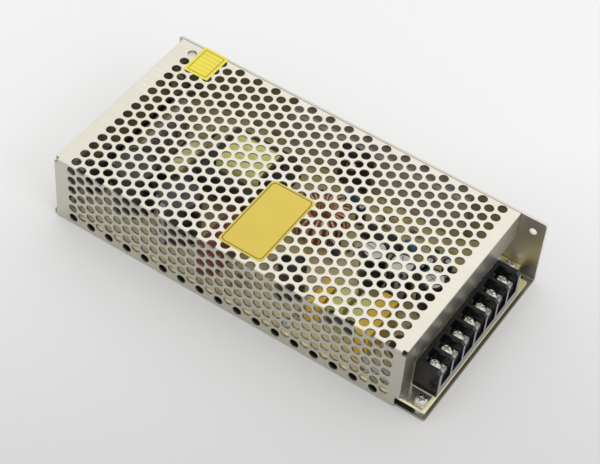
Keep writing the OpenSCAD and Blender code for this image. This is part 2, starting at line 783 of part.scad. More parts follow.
// The bobbin's tube with an end plate at each end and a pin rail under each plate
module transformer_bobbin() {
  wall = 0.8;
  plate = 1;
  gap = 0.1;
  tube = [core_middle + 2 * gap + 2 * wall, core_t + 2 * gap + 2 * wall];
  reach = winding_len / 2 + plate;
  color("#3a2f22") translate([transformer_at[0], transformer_at[1], 0]) {
    translate([-reach, 0, transformer_mid]) rotate([90, 0, 90]) difference() {
      union() {
        linear_extrude(2 * reach) square(tube, center = true);
        for (x = [0, 2 * reach - plate]) translate([0, 0, x])
          linear_extrude(plate) square([winding_w - 0.6, winding_h - 1], center = true);
      }
      translate([0, 0, -1]) linear_extrude(2 * reach + 2)
        square([core_middle + 2 * gap, core_t + 2 * gap], center = true);
    }
    for (side = [-1, 1]) translate([side * (reach - 1.5), 0, board_top])
      translate([-1.5, -winding_w / 2 - 1, 0]) cube([3, winding_w + 2, 3]);
  }
}

module transformer_winding() {
  color("#d9d36a") translate([transformer_at[0] - winding_len / 2 + 0.1, transformer_at[1], transformer_mid])
    rotate([90, 0, 90]) difference() {
      linear_extrude(winding_len - 0.2) rounded_rect([winding_w, winding_h], 4);
      translate([0, 0, -1]) linear_extrude(winding_len + 2)
        square([core_middle + 2, core_t + 2], center = true);
      // The pin rails reach under the winding's ends
      for (x = [-2, winding_len - 2.2]) translate([-core_w, board_top - transformer_mid - 1, x])
        cube([2 * core_w, 4.2, 4]);
    }
}

driver_mid = board_top + driver_coil_h / 2;

module driver_core() {
  color("#29292b") translate([driver_at[0], driver_at[1], driver_mid]) rotate(90)
    limb_core(driver_len, driver_w, driver_t, driver_limb, driver_middle);
}

module driver_winding() {
  length = driver_len - 2 * driver_limb - 0.4;
  color("#cfd48c") translate([driver_at[0], driver_at[1] + length / 2, driver_mid]) rotate([90, 0, 0])
    difference() {
      linear_extrude(length) rounded_rect([driver_coil_w, driver_coil_h], 2);
      translate([0, 0, -1]) linear_extrude(length + 2)
        square([driver_middle + 0.1, driver_t + 0.1], center = true);
    }
}

ring_core_w = (ring_d - ring_bore) / 2 - 2 * ring_wire;
ring_core_h = ring_h - 2 * ring_wire;
ring_mid_r = (ring_d + ring_bore) / 4;

module ring_core() {
  color("#c9b23c") translate([ring_at[0], ring_at[1], board_top + ring_wire]) rotate_extrude()
    translate([ring_mid_r - ring_core_w / 2, 0]) square([ring_core_w, ring_core_h]);
}

// One turn of wire round the core's section
module ring_turn() {
  rotate([90, 0, 0]) linear_extrude(ring_wire, center = true) difference() {
    rounded_rect([ring_core_w + 2 * ring_wire, ring_h], ring_wire);
    square([ring_core_w + 2 * running_gap, ring_core_h + 2 * running_gap], center = true);
  }
}

module ring_winding() {
  color("#b0643c") translate([ring_at[0], ring_at[1], board_top + ring_h / 2])
    for (i = [0:ring_turns - 1]) rotate(i * 340 / ring_turns) translate([ring_mid_r, 0, 0]) ring_turn();
}

// ---------------------------------------------------------------- power parts

bar_z = board_top + 0.6;
bar_back = wall_inner - pad_t;
bar_face = bar_back - bar_t;

module heatsink_bar() {
  color("#b4b6b4") difference() {
    block([bar_at - bar_len / 2, bar_face, bar_z], [bar_at + bar_len / 2, bar_back, bar_z + bar_h]);
    translate([rectifier_x, bar_back + 1, clamp_z]) rotate([90, 0, 0])
      cylinder(d = screw_d + 2 * running_gap, h = bar_t + 2);
  }
}

module thermal_pad() {
  color("#8d9193")
    block([bar_at - bar_len / 2, bar_back, bar_z], [bar_at + bar_len / 2, wall_inner, bar_z + bar_h]);
}

rectifier_z = bar_z + bar_h - rectifier_h - 0.2;
clamp_z = rectifier_z + rectifier_h * 0.72;

module output_rectifier() {
  color("#242426") translate([rectifier_x, bar_face, rectifier_z]) {
    difference() {
      translate([-rectifier_w / 2, -rectifier_t, 0]) cube([rectifier_w, rectifier_t, rectifier_h]);
      translate([0, 1, clamp_z - rectifier_z]) rotate([90, 0, 0])
        cylinder(d = screw_d + 0.6, h = rectifier_t + 2);
    }
    for (i = [-1, 0, 1]) translate([i * 5.4 - 0.6, -3, board_top - rectifier_z])
      cube([1.2, 0.7, rectifier_z - board_top + eps]);
  }
}

module rectifier_clamp() {
  color("#cfd0ce") translate([rectifier_x, bar_face - rectifier_t, clamp_z]) rotate([90, 0, 0])
    pan_screw(screw_d, rectifier_t + bar_t - 0.5, screw_head_d, screw_head_h);
}

package_h = 15;
package_z = board_top + 4;
package_y = [primary_at[1] - 10, primary_at[1] + 10];

module primary_heatsink() {
  color("#a9acab") {
    difference() {
      block([primary_at[0] - plate_t / 2, primary_at[1] - plate_len / 2, board_top],
            [primary_at[0] + plate_t / 2, primary_at[1] + plate_len / 2, board_top + plate_h]);
      for (y = package_y) translate([primary_at[0] - plate_t, y, package_z + 12.4])
        rotate([0, 90, 0]) cylinder(d = 3, h = 2 * plate_t);
    }
    // Fins on the back
    for (i = [0:4]) translate([0, primary_at[1] + (i - 2) * 7, board_top + 2])
      block([primary_at[0] + plate_t / 2 - eps, -0.6, 0],
            [primary_at[0] + plate_t / 2 + 1.2, 0.6, plate_h - 2]);
  }
}

module switching_transistors() {
  face = primary_at[0] - plate_t / 2;
  for (y = package_y) color("#232325") translate([face, y, package_z]) {
    difference() {
      union() {
        block([-package_t, -package_w / 2, 0], [0, package_w / 2, 9]);
        block([-1.3, -package_w / 2, 9 - eps], [0, package_w / 2, package_h]);
      }
      translate([-2, 0, 12.4]) rotate([0, 90, 0]) cylinder(d = 3.6, h = 4);
    }
    for (i = [-1, 0, 1])
      block([-3.2, i * 2.54 - 0.4, board_top - package_z], [-2.6, i * 2.54 + 0.4, eps]);
  }
}

module bridge_rectifier() {
  color("#2b2b2d") translate([bridge_at[0], bridge_at[1], board_top]) {
    difference() {
      block([-bridge_t / 2, -bridge_w / 2, 3], [bridge_t / 2, bridge_w / 2, 3 + bridge_h]);
      translate([-bridge_t, 0, 15]) rotate([0, 90, 0]) cylinder(d = 3.2, h = 2 * bridge_t);
      translate([-bridge_t, bridge_w / 2, 3 + bridge_h]) rotate([45, 0, 0])
        cube([4 * bridge_t, 2.4, 2.4], center = true);
    }
    for (i = [-1.5:1:1.5])
      block([-0.3, i * 0.23 * bridge_w - 0.5, 0], [0.3, i * 0.23 * bridge_w + 0.5, 3 + eps]);
  }
}

// ---------------------------------------------------------------- capacitors

// A can capacitor standing on z = 0, with its rolled bead, rim and scored vent
module can_capacitor(d, h) {
  rim = 0.07 * d + 0.2;
  difference() {
    rotate_extrude() polygon([
      [0, 0], [d / 2 - 0.5, 0], [d / 2, 0.5], [d / 2, 1.6], [d / 2 - 0.35, 2], [d / 2 - 0.35, 2.5],
      [d / 2, 2.9], [d / 2, h - 0.6], [d / 2 - 0.6, h], [d / 2 - rim, h], [d / 2 - rim, h - 0.35],
      [0, h - 0.35]
    ]);
    for (turn = [0, 60, 120]) rotate(turn)
      translate([-d * 0.32, -0.12, h - 0.6]) cube([d * 0.64, 0.24, 1]);
  }
}

module can_at(place, d, h) {
  translate([place[0], place[1], board_top]) can_capacitor(d, h);
}

module bulk_capacitor_1() {
  color("#4d5560") can_at(bulk_1_at, bulk_d, bulk_h);
}

module bulk_capacitor_2() {
  color("#4d5560") can_at(bulk_2_at, bulk_d, bulk_h);
}

module output_capacitors() {
  color("#26282c") for (place = output_places) can_at(place, output_d, output_h);
}

module auxiliary_capacitor() {
  color("#26282c") can_at(auxiliary_at, auxiliary_d, auxiliary_h);
}

module small_capacitors() {
  color("#26282c") for (place = small_places) can_at(place, small_d, small_h);
}

// A film capacitor box standing on small feet
module film_box(size) {
  difference() {
    rounded_box(size, 0.8);
    translate([-size[0], -size[1] / 2 + 2, -1]) cube([2 * size[0], size[1] - 4, 1.5]);
  }
}

module suppression_capacitor_1() {
  color("#d8b62c") translate([suppression_1_at[0], suppression_1_at[1], board_top]) film_box(film_1);
}

module suppression_capacitor_2() {
  color("#d8b62c") translate([suppression_2_at[0], suppression_2_at[1], board_top]) film_box(film_2);
}

module film_capacitor() {
  color("#7d2b26") translate([film_at[0], film_at[1], board_top]) film_box(film_3);
}

// A disc part standing on two leads, its flat faces along X or Y by turn
module disc_part(place, turn, d, t, lift) {
  translate([place[0], place[1], board_top]) rotate(turn) {
    translate([0, t / 2, lift + d / 2]) rotate([90, 0, 0]) cylinder(d = d, h = t);
    for (side = [-1, 1]) translate([side * d * 0.28, 0, 0]) cylinder(d = 0.7, h = lift + d * 0.3);
  }
}

module disc_capacitors() {
  color("#2c5f9e") for (p = disc_places) disc_part(p[0], p[1], p[2], disc_t, disc_lift);
}

module thermistor() {
  color("#2d3a33") disc_part(thermistor_at, 0, thermistor_d, thermistor_t, disc_lift);
}

// ---------------------------------------------------------------- filter, fuse, chips

coil_len = filter_len - 2 * filter_limb - 0.4;
filter_mid = board_top + coil_h / 2;

module filter_core() {
  color("#29292b") translate([filter_at[0], filter_at[1], filter_mid]) linear_extrude(4, center = true)
    difference() {
      square([filter_w, filter_len], center = true);
      square([filter_w - 2 * filter_limb, filter_len - 2 * filter_limb], center = true);
    }
}

module filter_coils() {
  color("#cfd58f") for (side = [-1, 1])
    translate([filter_at[0] + side * (filter_w - filter_limb) / 2, filter_at[1] + coil_len / 2, filter_mid])
      rotate([90, 0, 0]) difference() {
        linear_extrude(coil_len) rounded_rect([coil_w, coil_h], 1.6);
        translate([0, 0, -1]) linear_extrude(coil_len + 2) square([filter_limb + 0.1, 4.1], center = true);
      }
}

fuse_x = [fuse_right - fuse_len, fuse_right];
fuse_z = board_top + 1.4 + fuse_d / 2;

module fuse() {
  color("#dfe4e2") translate([fuse_x[0], fuse_y, fuse_z]) rotate([0, 90, 0]) {
    cylinder(d = fuse_d - 0.4, h = fuse_x[1] - fuse_x[0]);
    for (x = [0, fuse_x[1] - fuse_x[0] - 5]) translate([0, 0, x]) cylinder(d = fuse_d, h = 5);
  }
}

module fuse_clips() {
  color("#c8c4b4") for (x = [fuse_x[0] + 1, fuse_x[1] - 5]) translate([x, fuse_y, 0]) difference() {
    block([0, -fuse_d / 2 - clip_t, board_top], [4, fuse_d / 2 + clip_t, fuse_z + 1]);
    translate([-1, 0, fuse_z]) rotate([0, 90, 0]) cylinder(d = fuse_d, h = 6);
    translate([-1, -fuse_d / 2 + 0.3, board_top + 0.5]) cube([6, fuse_d - 0.6, fuse_d]);
  }
}

module control_chip() {
  color("#202022") translate([chip_at[0], chip_at[1], board_top]) {
    difference() {
      translate([-chip_len / 2, -chip_w / 2, 0.6]) cube([chip_len, chip_w, 3.4]);
      translate([-chip_len / 2, 0, 3.4]) cylinder(d = 1.6, h = 2);
    }
    for (i = [0:7], side = [-1, 1]) translate([(i - 3.5) * 2.54, side * chip_w / 2, 0]) {
      block([-0.7, side > 0 ? -eps : -0.9, 1.6], [0.7, side > 0 ? 0.9 : eps, 1.9]);
      block([-0.3, side > 0 ? 0.6 : -0.9, 0], [0.3, side > 0 ? 0.9 : -0.6, 1.9]);
    }
  }
}

// A part with a lead at each end lying on the board, along X or turned
module axial_part(place, turn, length, d) {
  translate([place[0], place[1], board_top + d / 2]) rotate([0, 90, turn]) {
    rotate_extrude() polygon([
      [0, -length / 2], [d * 0.42, -length / 2], [d / 2, -length / 2 + 0.5], [d / 2, -length / 4],
      [d * 0.44, -length / 4 + 0.3], [d * 0.44, length / 4 - 0.3], [d / 2, length / 4],
      [d / 2, length / 2 - 0.5], [d * 0.42, length / 2], [0, length / 2]
    ]);
    translate([0, 0, -length / 2 - 1.5]) cylinder(d = 0.6, h = length + 3);
  }
}

module resistors() {
  color("#c9a878") for (p = resistor_places) axial_part(p[0], p[1], resistor_len, resistor_d);
}

module diodes() {
  color("#2a2a2c") for (p = diode_places) axial_part(p[0], p[1], diode_len, diode_d);
}

// ---------------------------------------------------------------- labels

label_at = [-0.4, y_near + 26];
seal_x = x_left + 21;

module large_label() {
  color("#f0cf3a") translate([label_at[0], label_at[1], case_h])
    linear_extrude(label_t) rounded_rect([label_w, label_len], label_corner);
}

module seal_label() {
  color("#f2d935") {
    block([seal_x - seal_w / 2, y_far - seal_len, case_h],
          [seal_x + seal_w / 2, y_far + label_t, case_h + label_t]);
    block([seal_x - seal_w / 2, y_far, case_h - seal_drop],
          [seal_x + seal_w / 2, y_far + label_t, case_h + eps]);
  }
}

chassis();
cover();
insulating_sheet();
standoffs();
board_screws();
cover_screws();
circuit_board();
terminal_block();
terminal_contacts();
terminal_screw(0);  // terminal_screw_1
terminal_screw(1);  // terminal_screw_2
terminal_screw(2);  // terminal_screw_3
terminal_screw(3);  // terminal_screw_4
terminal_screw(4);  // terminal_screw_5
terminal_screw(5);  // terminal_screw_6
terminal_screw(6);  // terminal_screw_7
clamp_washer(0);  // clamp_washer_1
clamp_washer(1);  // clamp_washer_2
clamp_washer(2);  // clamp_washer_3
clamp_washer(3);  // clamp_washer_4
clamp_washer(4);  // clamp_washer_5
clamp_washer(5);  // clamp_washer_6
clamp_washer(6);  // clamp_washer_7
trimmer_body();
trimmer_rotor();
power_led();
transformer_core();
transformer_bobbin();
transformer_winding();
driver_core();
driver_winding();
ring_core();
ring_winding();
heatsink_bar();
thermal_pad();
output_rectifier();
rectifier_clamp();
primary_heatsink();
switching_transistors();
bridge_rectifier();
bulk_capacitor_1();
bulk_capacitor_2();
output_capacitors();
auxiliary_capacitor();
small_capacitors();
filter_core();
filter_coils();
suppression_capacitor_1();
suppression_capacitor_2();
film_capacitor();
disc_capacitors();
thermistor();
fuse();
fuse_clips();
control_chip();
resistors();
diodes();
large_label();
seal_label();
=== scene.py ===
"""The looks of a mesh case power supply: its folded sheets, board and fittings, ready to light.

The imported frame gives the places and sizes. The classes here build the pieces that show over it
and their finishes, in metres and in the frame's own axes.
"""

import logging
import math
from dataclasses import dataclass, field, replace
from enum import Enum, IntEnum
from typing import Sequence, Union

import bmesh
import bpy
from mathutils import Matrix, Vector


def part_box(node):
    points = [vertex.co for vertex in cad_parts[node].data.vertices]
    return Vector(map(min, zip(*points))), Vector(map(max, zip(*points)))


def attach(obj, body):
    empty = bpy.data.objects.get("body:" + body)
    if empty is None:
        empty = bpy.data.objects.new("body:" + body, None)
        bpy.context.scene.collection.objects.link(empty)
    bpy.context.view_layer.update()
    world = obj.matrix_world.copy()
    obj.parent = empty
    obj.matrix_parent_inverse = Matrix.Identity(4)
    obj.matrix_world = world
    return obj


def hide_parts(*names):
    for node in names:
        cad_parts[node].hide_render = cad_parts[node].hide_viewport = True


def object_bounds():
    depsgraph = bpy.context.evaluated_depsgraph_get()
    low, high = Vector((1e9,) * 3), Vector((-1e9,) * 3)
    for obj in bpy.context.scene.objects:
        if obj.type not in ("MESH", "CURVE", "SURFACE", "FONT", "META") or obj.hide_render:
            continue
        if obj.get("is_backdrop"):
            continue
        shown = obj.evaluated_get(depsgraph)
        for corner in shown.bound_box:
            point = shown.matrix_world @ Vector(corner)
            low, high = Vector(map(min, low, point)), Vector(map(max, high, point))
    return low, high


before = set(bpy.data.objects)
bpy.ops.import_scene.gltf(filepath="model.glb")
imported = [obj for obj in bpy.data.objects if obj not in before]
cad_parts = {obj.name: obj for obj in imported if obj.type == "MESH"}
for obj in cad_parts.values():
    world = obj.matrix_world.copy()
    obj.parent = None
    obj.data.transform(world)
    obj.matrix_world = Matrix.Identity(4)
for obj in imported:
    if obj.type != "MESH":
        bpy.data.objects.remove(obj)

log = logging.getLogger("power_supply")

MM = 0.001
# Points of a frame's mesh closer than this are one point, and faces nearer level are one face.
WELD = 0.002 * MM
LEVEL = math.radians(0.6)

Colour = tuple[float, float, float]
Point = tuple[float, float, float]
Rings = tuple[tuple[float, float], ...]


# ---------------------------------------------------------------- node graphs


class Signal:
    """A node's output socket that Python's operators work on."""

    def __init__(self, graph: "Graph", socket: bpy.types.NodeSocket | None) -> None:
        """Keep the graph and the socket."""
        self.graph = graph
        self.socket = socket

    def maths(self, operation: str, *others: "Value") -> "Signal":
        """Work a Math node on this signal and others."""
        return self.graph.maths(operation, self, *others)

    def __add__(self, other: "Value") -> "Signal":
        """Sum."""
        return self.maths("ADD", other)

    def __sub__(self, other: "Value") -> "Signal":
        """Difference."""
        return self.maths("SUBTRACT", other)

    def __rsub__(self, other: "Value") -> "Signal":
        """Difference from a number."""
        return self.graph.maths("SUBTRACT", other, self)

    def __mul__(self, other: "Value") -> "Signal":
        """Product."""
        return self.maths("MULTIPLY", other)

    def __truediv__(self, other: "Value") -> "Signal":
        """Quotient."""
        return self.maths("DIVIDE", other)

    def __rtruediv__(self, other: "Value") -> "Signal":
        """Quotient of a number by this."""
        return self.graph.maths("DIVIDE", other, self)

    def __pow__(self, other: "Value") -> "Signal":
        """Power."""
        return self.maths("POWER", other)

    def __mod__(self, other: "Value") -> "Signal":
        """Remainder, never negative."""
        return self.maths("FLOORED_MODULO", other)

    def __gt__(self, other: "Value") -> "Signal":
        """1 where this is greater."""
        return self.maths("GREATER_THAN", other)

    def __lt__(self, other: "Value") -> "Signal":
        """1 where this is less."""
        return self.maths("LESS_THAN", other)

    def __abs__(self) -> "Signal":
        """Size without sign."""
        return self.maths("ABSOLUTE")

    __radd__ = __add__
    __rmul__ = __mul__


Value = Union[Signal, float, int, Sequence[float], Sequence[Signal], str, bool]


class Graph:
    """A node tree that is written as expressions."""

    def __init__(self, tree: bpy.types.NodeTree) -> None:
        """Keep the tree."""
        self.tree = tree

    def add(
        self,
        kind: str,
        settings: dict | None = None,
        inputs: dict | None = None,
        output: int | str = 0,
    ) -> Signal:
        """Add one node.

        Args:
            kind: The node's type.
            settings: Its own properties, set first.
            inputs: Values or signals of its sockets, by name or place.
            output: The socket to return.
        Returns:
            The chosen output.
        """
        node = self.tree.nodes.new(kind)
        for name, value in (settings or {}).items():
            setattr(node, name, value)
        for name, value in (inputs or {}).items():
            socket = node.inputs[name]
            if isinstance(value, Signal):
                self.tree.links.new(value.socket, socket)
            elif socket.is_multi_input:
                for signal in reversed(value):
                    self.tree.links.new(signal.socket, socket)
            elif socket.type == "RGBA" and len(value) == 3:
                socket.default_value = (*value, 1.0)
            else:
                socket.default_value = value
        return Signal(self, node.outputs[output] if node.outputs else None)

    def maths(self, operation: str, *values: Value) -> Signal:
        """Work a Math node on up to three values."""
        return self.add("ShaderNodeMath", {"operation": operation}, dict(enumerate(values)))

    def vector(self, operation: str, *values: Value, output: int = 0) -> Signal:
        """Work a Vector Math node, whose output 1 is a length or dot product."""
        inputs = dict(enumerate(values))
        return self.add("ShaderNodeVectorMath", {"operation": operation}, inputs, output)

    def axes(self, vector: Signal) -> tuple[Signal, ...]:
        """Split a vector into its three numbers."""
        outputs = self.add("ShaderNodeSeparateXYZ", None, {0: vector}).socket.node.outputs
        return tuple(Signal(self, socket) for socket in outputs)

    def joined(self, x: Value, y: Value, z: Value) -> Signal:
        """Make a vector of three numbers."""
        return self.add("ShaderNodeCombineXYZ", None, {0: x, 1: y, 2: z})

    def ranged(
        self, value: Signal, low: float, high: float, to_low: float = 0.0, to_high: float = 1.0
    ) -> Signal:
        """Stretch a value from one range to another, held at both ends."""
        ends = {0: value, 1: low, 2: high, 3: to_low, 4: to_high}
        return self.add("ShaderNodeMapRange", None, ends)


class Paint(Graph):
    """The nodes of one material."""

    def __init__(self, name: str) -> None:
        """Start an empty material.

        Args:
            name: The material's name.
        """
        self.material = bpy.data.materials.new(name)
        self.material.use_nodes = True
        super().__init__(self.material.node_tree)
        self.tree.nodes.clear()
        self.place = self.add("ShaderNodeTexCoord", output="Object")

    def facing(self) -> tuple[Signal, ...]:
        """How far the surface faces along X, Y and Z."""
        return self.axes(self.add("ShaderNodeTexCoord", output="Normal"))

    def mark(self, name: str, output: str = "Vector") -> Signal:
        """What a mesh's own attribute of that name says."""
        return self.add("ShaderNodeAttribute", {"attribute_name": name}, output=output)

    def turned(
        self, centre: Point = (0, 0, 0), scale: Point = (1, 1, 1), turn: Point = (0, 0, 0)
    ) -> Signal:
        """Object coordinates from a piece's own middle.

        Args:
            centre: The point that becomes the origin, in metres.
            scale: Stretch of each axis afterwards.
            turn: Turn about each axis, in degrees.
        Returns:
            The coordinates.
        """
        shifted = self.vector("SUBTRACT", self.place, centre)
        inputs = {"Vector": shifted, "Rotation": [math.radians(a) for a in turn], "Scale": scale}
        return self.add("ShaderNodeMapping", {"vector_type": "POINT"}, inputs)

    def noise(
        self,
        scale: float,
        detail: float = 3.0,
        vector: Signal | None = None,
        rough: float = 0.5,
        warp: float = 0.0,
    ) -> Signal:
        """A noise pattern of about 0.3 to 0.7, its scale in cells to the metre."""
        inputs = {"Scale": scale, "Detail": detail, "Roughness": rough, "Distortion": warp}
        return self.add("ShaderNodeTexNoise", None, {"Vector": vector or self.place, **inputs})

    def patches(
        self,
        scale: float,
        detail: float,
        low: float,
        high: float,
        rough: float = 0.5,
        warp: float = 0.0,
    ) -> Signal:
        """Patches of a noise pattern, from 0 where it is low to 1 where it is high."""
        return self.ranged(self.noise(scale, detail, None, rough, warp), low, high)

    def mix(self, share: Value, first: Value, second: Value) -> Signal:
        """Blend two colours, with a share of the second."""
        colours = {0: share, 6: first, 7: second}
        return self.add("ShaderNodeMix", {"data_type": "RGBA"}, colours, output=2)

    def relief(
        self, height: Signal, depth: float, strength: float = 1.0, under: Signal | None = None
    ) -> Signal:
        """Turn a height into a bumped normal.

        Args:
            height: The height, 0 to 1.
            depth: How deep a height of 1 is, in metres.
            strength: Strength of the bump.
            under: A normal to lay it over.
        Returns:
            The normal.
        """
        inputs = {"Height": height, "Distance": depth, "Strength": strength}
        if under:
            inputs["Normal"] = under
        return self.add("ShaderNodeBump", None, inputs)

    def finish(self, sockets: dict[str, Value]) -> bpy.types.Material:
        """Close the material with a Principled shader.

        Args:
            sockets: Its sockets by name, with _ for a space.
        Returns:
            The material.
        """
        named = {name.replace("_", " "): value for name, value in sockets.items()}
        shader = self.add("ShaderNodeBsdfPrincipled", None, named)
        self.add("ShaderNodeOutputMaterial", None, {"Surface": shader})
        return self.material


# ---------------------------------------------------------------- finishes


class Lay(Enum):
    """Which way a part's grain runs, as the stretch of its pattern."""

    ALONG = (1.0, 26.0, 26.0)
    UPRIGHT = (26.0, 26.0, 1.0)


def shade(colour: Colour, share: float) -> Colour:
    """A colour made darker or lighter by a share, up to white."""
    return tuple(min(1.0, part * share) for part in colour)


class Finish:
    """A finish that paints a material once and keeps it."""

    made: dict[str, bpy.types.Material] = {}
    name: str

    def material(self) -> bpy.types.Material:
        """The finish's material, made on first use.

        Returns:
            The material.
        """
        key = repr(self)
        if key not in Finish.made:
            paint = Paint(self.name)
            Finish.made[key] = paint.finish(self.painted(paint))
        return Finish.made[key]

    def painted(self, p: Paint) -> dict[str, Value]:
        """The shader's sockets. Each finish has its own.

        Args:
            p: The material's nodes.
        Returns:
            The shader's sockets.
        """
        raise NotImplementedError


@dataclass(frozen=True)
class BrightSheet(Finish):
    """Rolled sheet steel with a bright plating.

    Its rolling marks, faint handling smudges and slow waves break up what it mirrors. The
    shares sides, ends and foot darken what faces the front, faces the terminals or lies low, as
    painted shade.
    """

    name: str = "bright_sheet"
    colour: Colour = (0.83, 0.80, 0.70)
    dull: Colour = (0.70, 0.67, 0.565)
    rough: float = 0.24
    wave: float = 0.02
    sides: float = 0.0
    reach: float = 1.0
    ends: float = 0.0
    foot: float = 0.0
    handled: Colour = (0.60, 0.55, 0.44)
    shadowed: Colour = (0.07, 0.07, 0.062)

    def painted(self, p: Paint) -> dict[str, Value]:
        """Paint the plating.

        Args:
            p: The material's nodes.
        Returns:
            The shader's sockets.
        """
        grained = p.turned(scale=Lay.ALONG.value)
        fine = p.noise(420, 3, grained)
        broad = p.noise(70, 4, grained, warp=0.4)
        smudge = p.patches(38, 5, 0.42, 0.68, rough=0.62, warp=1.2)
        tone = p.ranged(broad * 0.6 + p.noise(9, 2) * 0.4, 0.36, 0.64)
        across, along, up = p.facing()
        x, y, z = p.axes(p.place)
        # Masks of painted shade: faces to the terminals, faces to the front, and low faces.
        end = p.ranged(across, 0.3, 0.9)
        side = p.ranged(along, -0.3, -0.9) * p.ranged(x, self.reach, self.reach - 0.004)
        low = p.ranged(z, 0.0002, 0.006, self.foot, 0.0) * p.ranged(up, 0.0, 0.7, 0.45, 1.0)
        colour = p.mix(tone * 0.5, self.colour, self.dull)
        colour = p.mix(smudge * 0.12, colour, self.handled)
        # Painted shade: the masked faces are painted darker, the low ones towards the shadowed
        # colour.
        colour = p.mix(side * self.sides, colour, shade(self.dull, 0.5))
        colour = p.mix(end * self.ends, colour, shade(self.dull, 0.35))
        colour = p.mix(low, colour, self.shadowed)
        lines = {"Vector": p.turned(scale=(1, 6, 6), turn=(0, 0, 31)), "Scale": 60}
        scratch = p.add("ShaderNodeTexVoronoi", {"feature": "DISTANCE_TO_EDGE"}, lines)
        nick = p.ranged(scratch, 0.0, 0.006, 1.0, 0.0) * p.patches(55, 2, 0.56, 0.62)
        rough = self.rough + (fine - 0.5) * 0.08 + smudge * 0.05 + nick * 0.2
        rough = rough + (broad - 0.5) * 0.10 + end * 0.12
        slow = p.relief(p.noise(16, 1), 0.0006, self.wave)
        normal = p.relief(fine * 0.7 + broad * 0.3 - nick * 0.25, 0.00002, 0.35, slow)
        return dict(Base_Color=colour, Metallic=1.0, Roughness=rough, Normal=normal)


@dataclass(frozen=True)
class Oxidised(Finish):
    """Extruded aluminium with a dull oxide on it and drawn lines along it."""

    name: str = "oxidised"
    colour: Colour = (0.66, 0.64, 0.59)
    lay: Lay = Lay.ALONG

    def painted(self, p: Paint) -> dict[str, Value]:
        """Paint the oxide.

        Args:
            p: The material's nodes.
        Returns:
            The shader's sockets.
        """
        lines = p.noise(300, 3, p.turned(scale=self.lay.value))
        bloom = p.patches(90, 4, 0.38, 0.66)
        colour = p.mix(bloom * 0.4, self.colour, shade(self.colour, 0.72))
        colour = p.mix(p.ranged(lines, 0.4, 0.62) * 0.3, colour, shade(self.colour, 1.3))
        rough = 0.46 + bloom * 0.14 + (lines - 0.5) * 0.16
        normal = p.relief(lines, 0.00003, 0.5)
        return dict(Base_Color=colour, Metallic=0.35, Roughness=rough, Normal=normal)


@dataclass(frozen=True)
class PunchedEdge(Finish):
    """The sheared edge of punched sheet: a burnished band above a darker torn one."""

    name: str = "punched_edge"
    colour: Colour = (0.50, 0.48, 0.42)
    torn: Colour = (0.20, 0.19, 0.17)

    def painted(self, p: Paint) -> dict[str, Value]:
        """Paint the cut.

        Args:
            p: The material's nodes.
        Returns:
            The shader's sockets.
        """
        shear = p.noise(2200, 3, p.turned(scale=(1, 1, 0.3)))
        tone = p.ranged(shear, 0.38, 0.62)
        colour = p.mix(tone, self.torn, self.colour)
        rough = 0.34 + (1 - tone) * 0.3
        normal = p.relief(shear, 0.00004, 0.6)
        return dict(Base_Color=colour, Metallic=1.0, Roughness=rough, Normal=normal)


@dataclass(frozen=True)
class Plated(Finish):
    """Plated screws, clamps and contacts, lightly scuffed where a tool has touched them."""

    name: str = "plated"
    colour: Colour = (0.68, 0.66, 0.61)
    rough: float = 0.16
    tarnish: Colour = (0.36, 0.34, 0.29)

    def painted(self, p: Paint) -> dict[str, Value]:
        """Paint the plating.

        Args:
            p: The material's nodes.
        Returns:
            The shader's sockets.
        """
        fine = p.noise(900, 3)
        worn = p.patches(260, 4, 0.44, 0.7, warp=0.6)
        colour = p.mix(worn * 0.5, self.colour, self.tarnish)
        rough = self.rough + worn * 0.18 + (fine - 0.5) * 0.12
        normal = p.relief(fine + worn * 0.5, 0.00002, 0.5)
        return dict(Base_Color=colour, Metallic=1.0, Roughness=rough, Normal=normal)


@dataclass(frozen=True)
class Moulding(Finish):
    """Moulded plastic with a fine skin, a little dust and flow marks.

    Where front is over 0, what faces the terminals' end beyond the X of face gets a clear coat
    and a pale lilac-grey colour, a painted reflection.
    """

    name: str = "moulding"
    colour: Colour = (0.006, 0.006, 0.007)
    worn: Colour = (0.022, 0.022, 0.024)
    rough: float = 0.3
    dust: float = 0.25
    shine: float = 0.5
    front: float = 0.0
    face: float = 1.0
    front_reflection: Colour = (0.075, 0.075, 0.095)

    def painted(self, p: Paint) -> dict[str, Value]:
        """Paint the plastic.

        Args:
            p: The material's nodes.
        Returns:
            The shader's sockets.
        """
        x, y, z = p.axes(p.place)
        outer = p.ranged(x, self.face, self.face + 0.0008)
        front = p.ranged(p.facing()[0], 0.5, 0.95) * outer * self.front
        skin = p.noise(1400, 2)
        flow = p.noise(70, 3, warp=1.5)
        dust = p.patches(320, 5, 0.5, 0.72, rough=0.7)
        colour = p.mix(p.ranged(flow, 0.35, 0.65) * 0.35, self.colour, self.worn)
        colour = p.mix(dust * self.dust, colour, self.worn)
        # Painted reflection: the front faces are painted pale lilac-grey.
        colour = p.mix(front, colour, self.front_reflection)
        return dict(
            Base_Color=colour,
            Roughness=self.rough + (skin - 0.5) * 0.14 + dust * 0.14 + (flow - 0.5) * 0.1,
            Normal=p.relief(skin, 0.00002, 0.5, p.relief(flow, 0.00008, 0.3)),
            Specular_IOR_Level=self.shine,
            Coat_Weight=front,
            Coat_Roughness=0.12,
        )


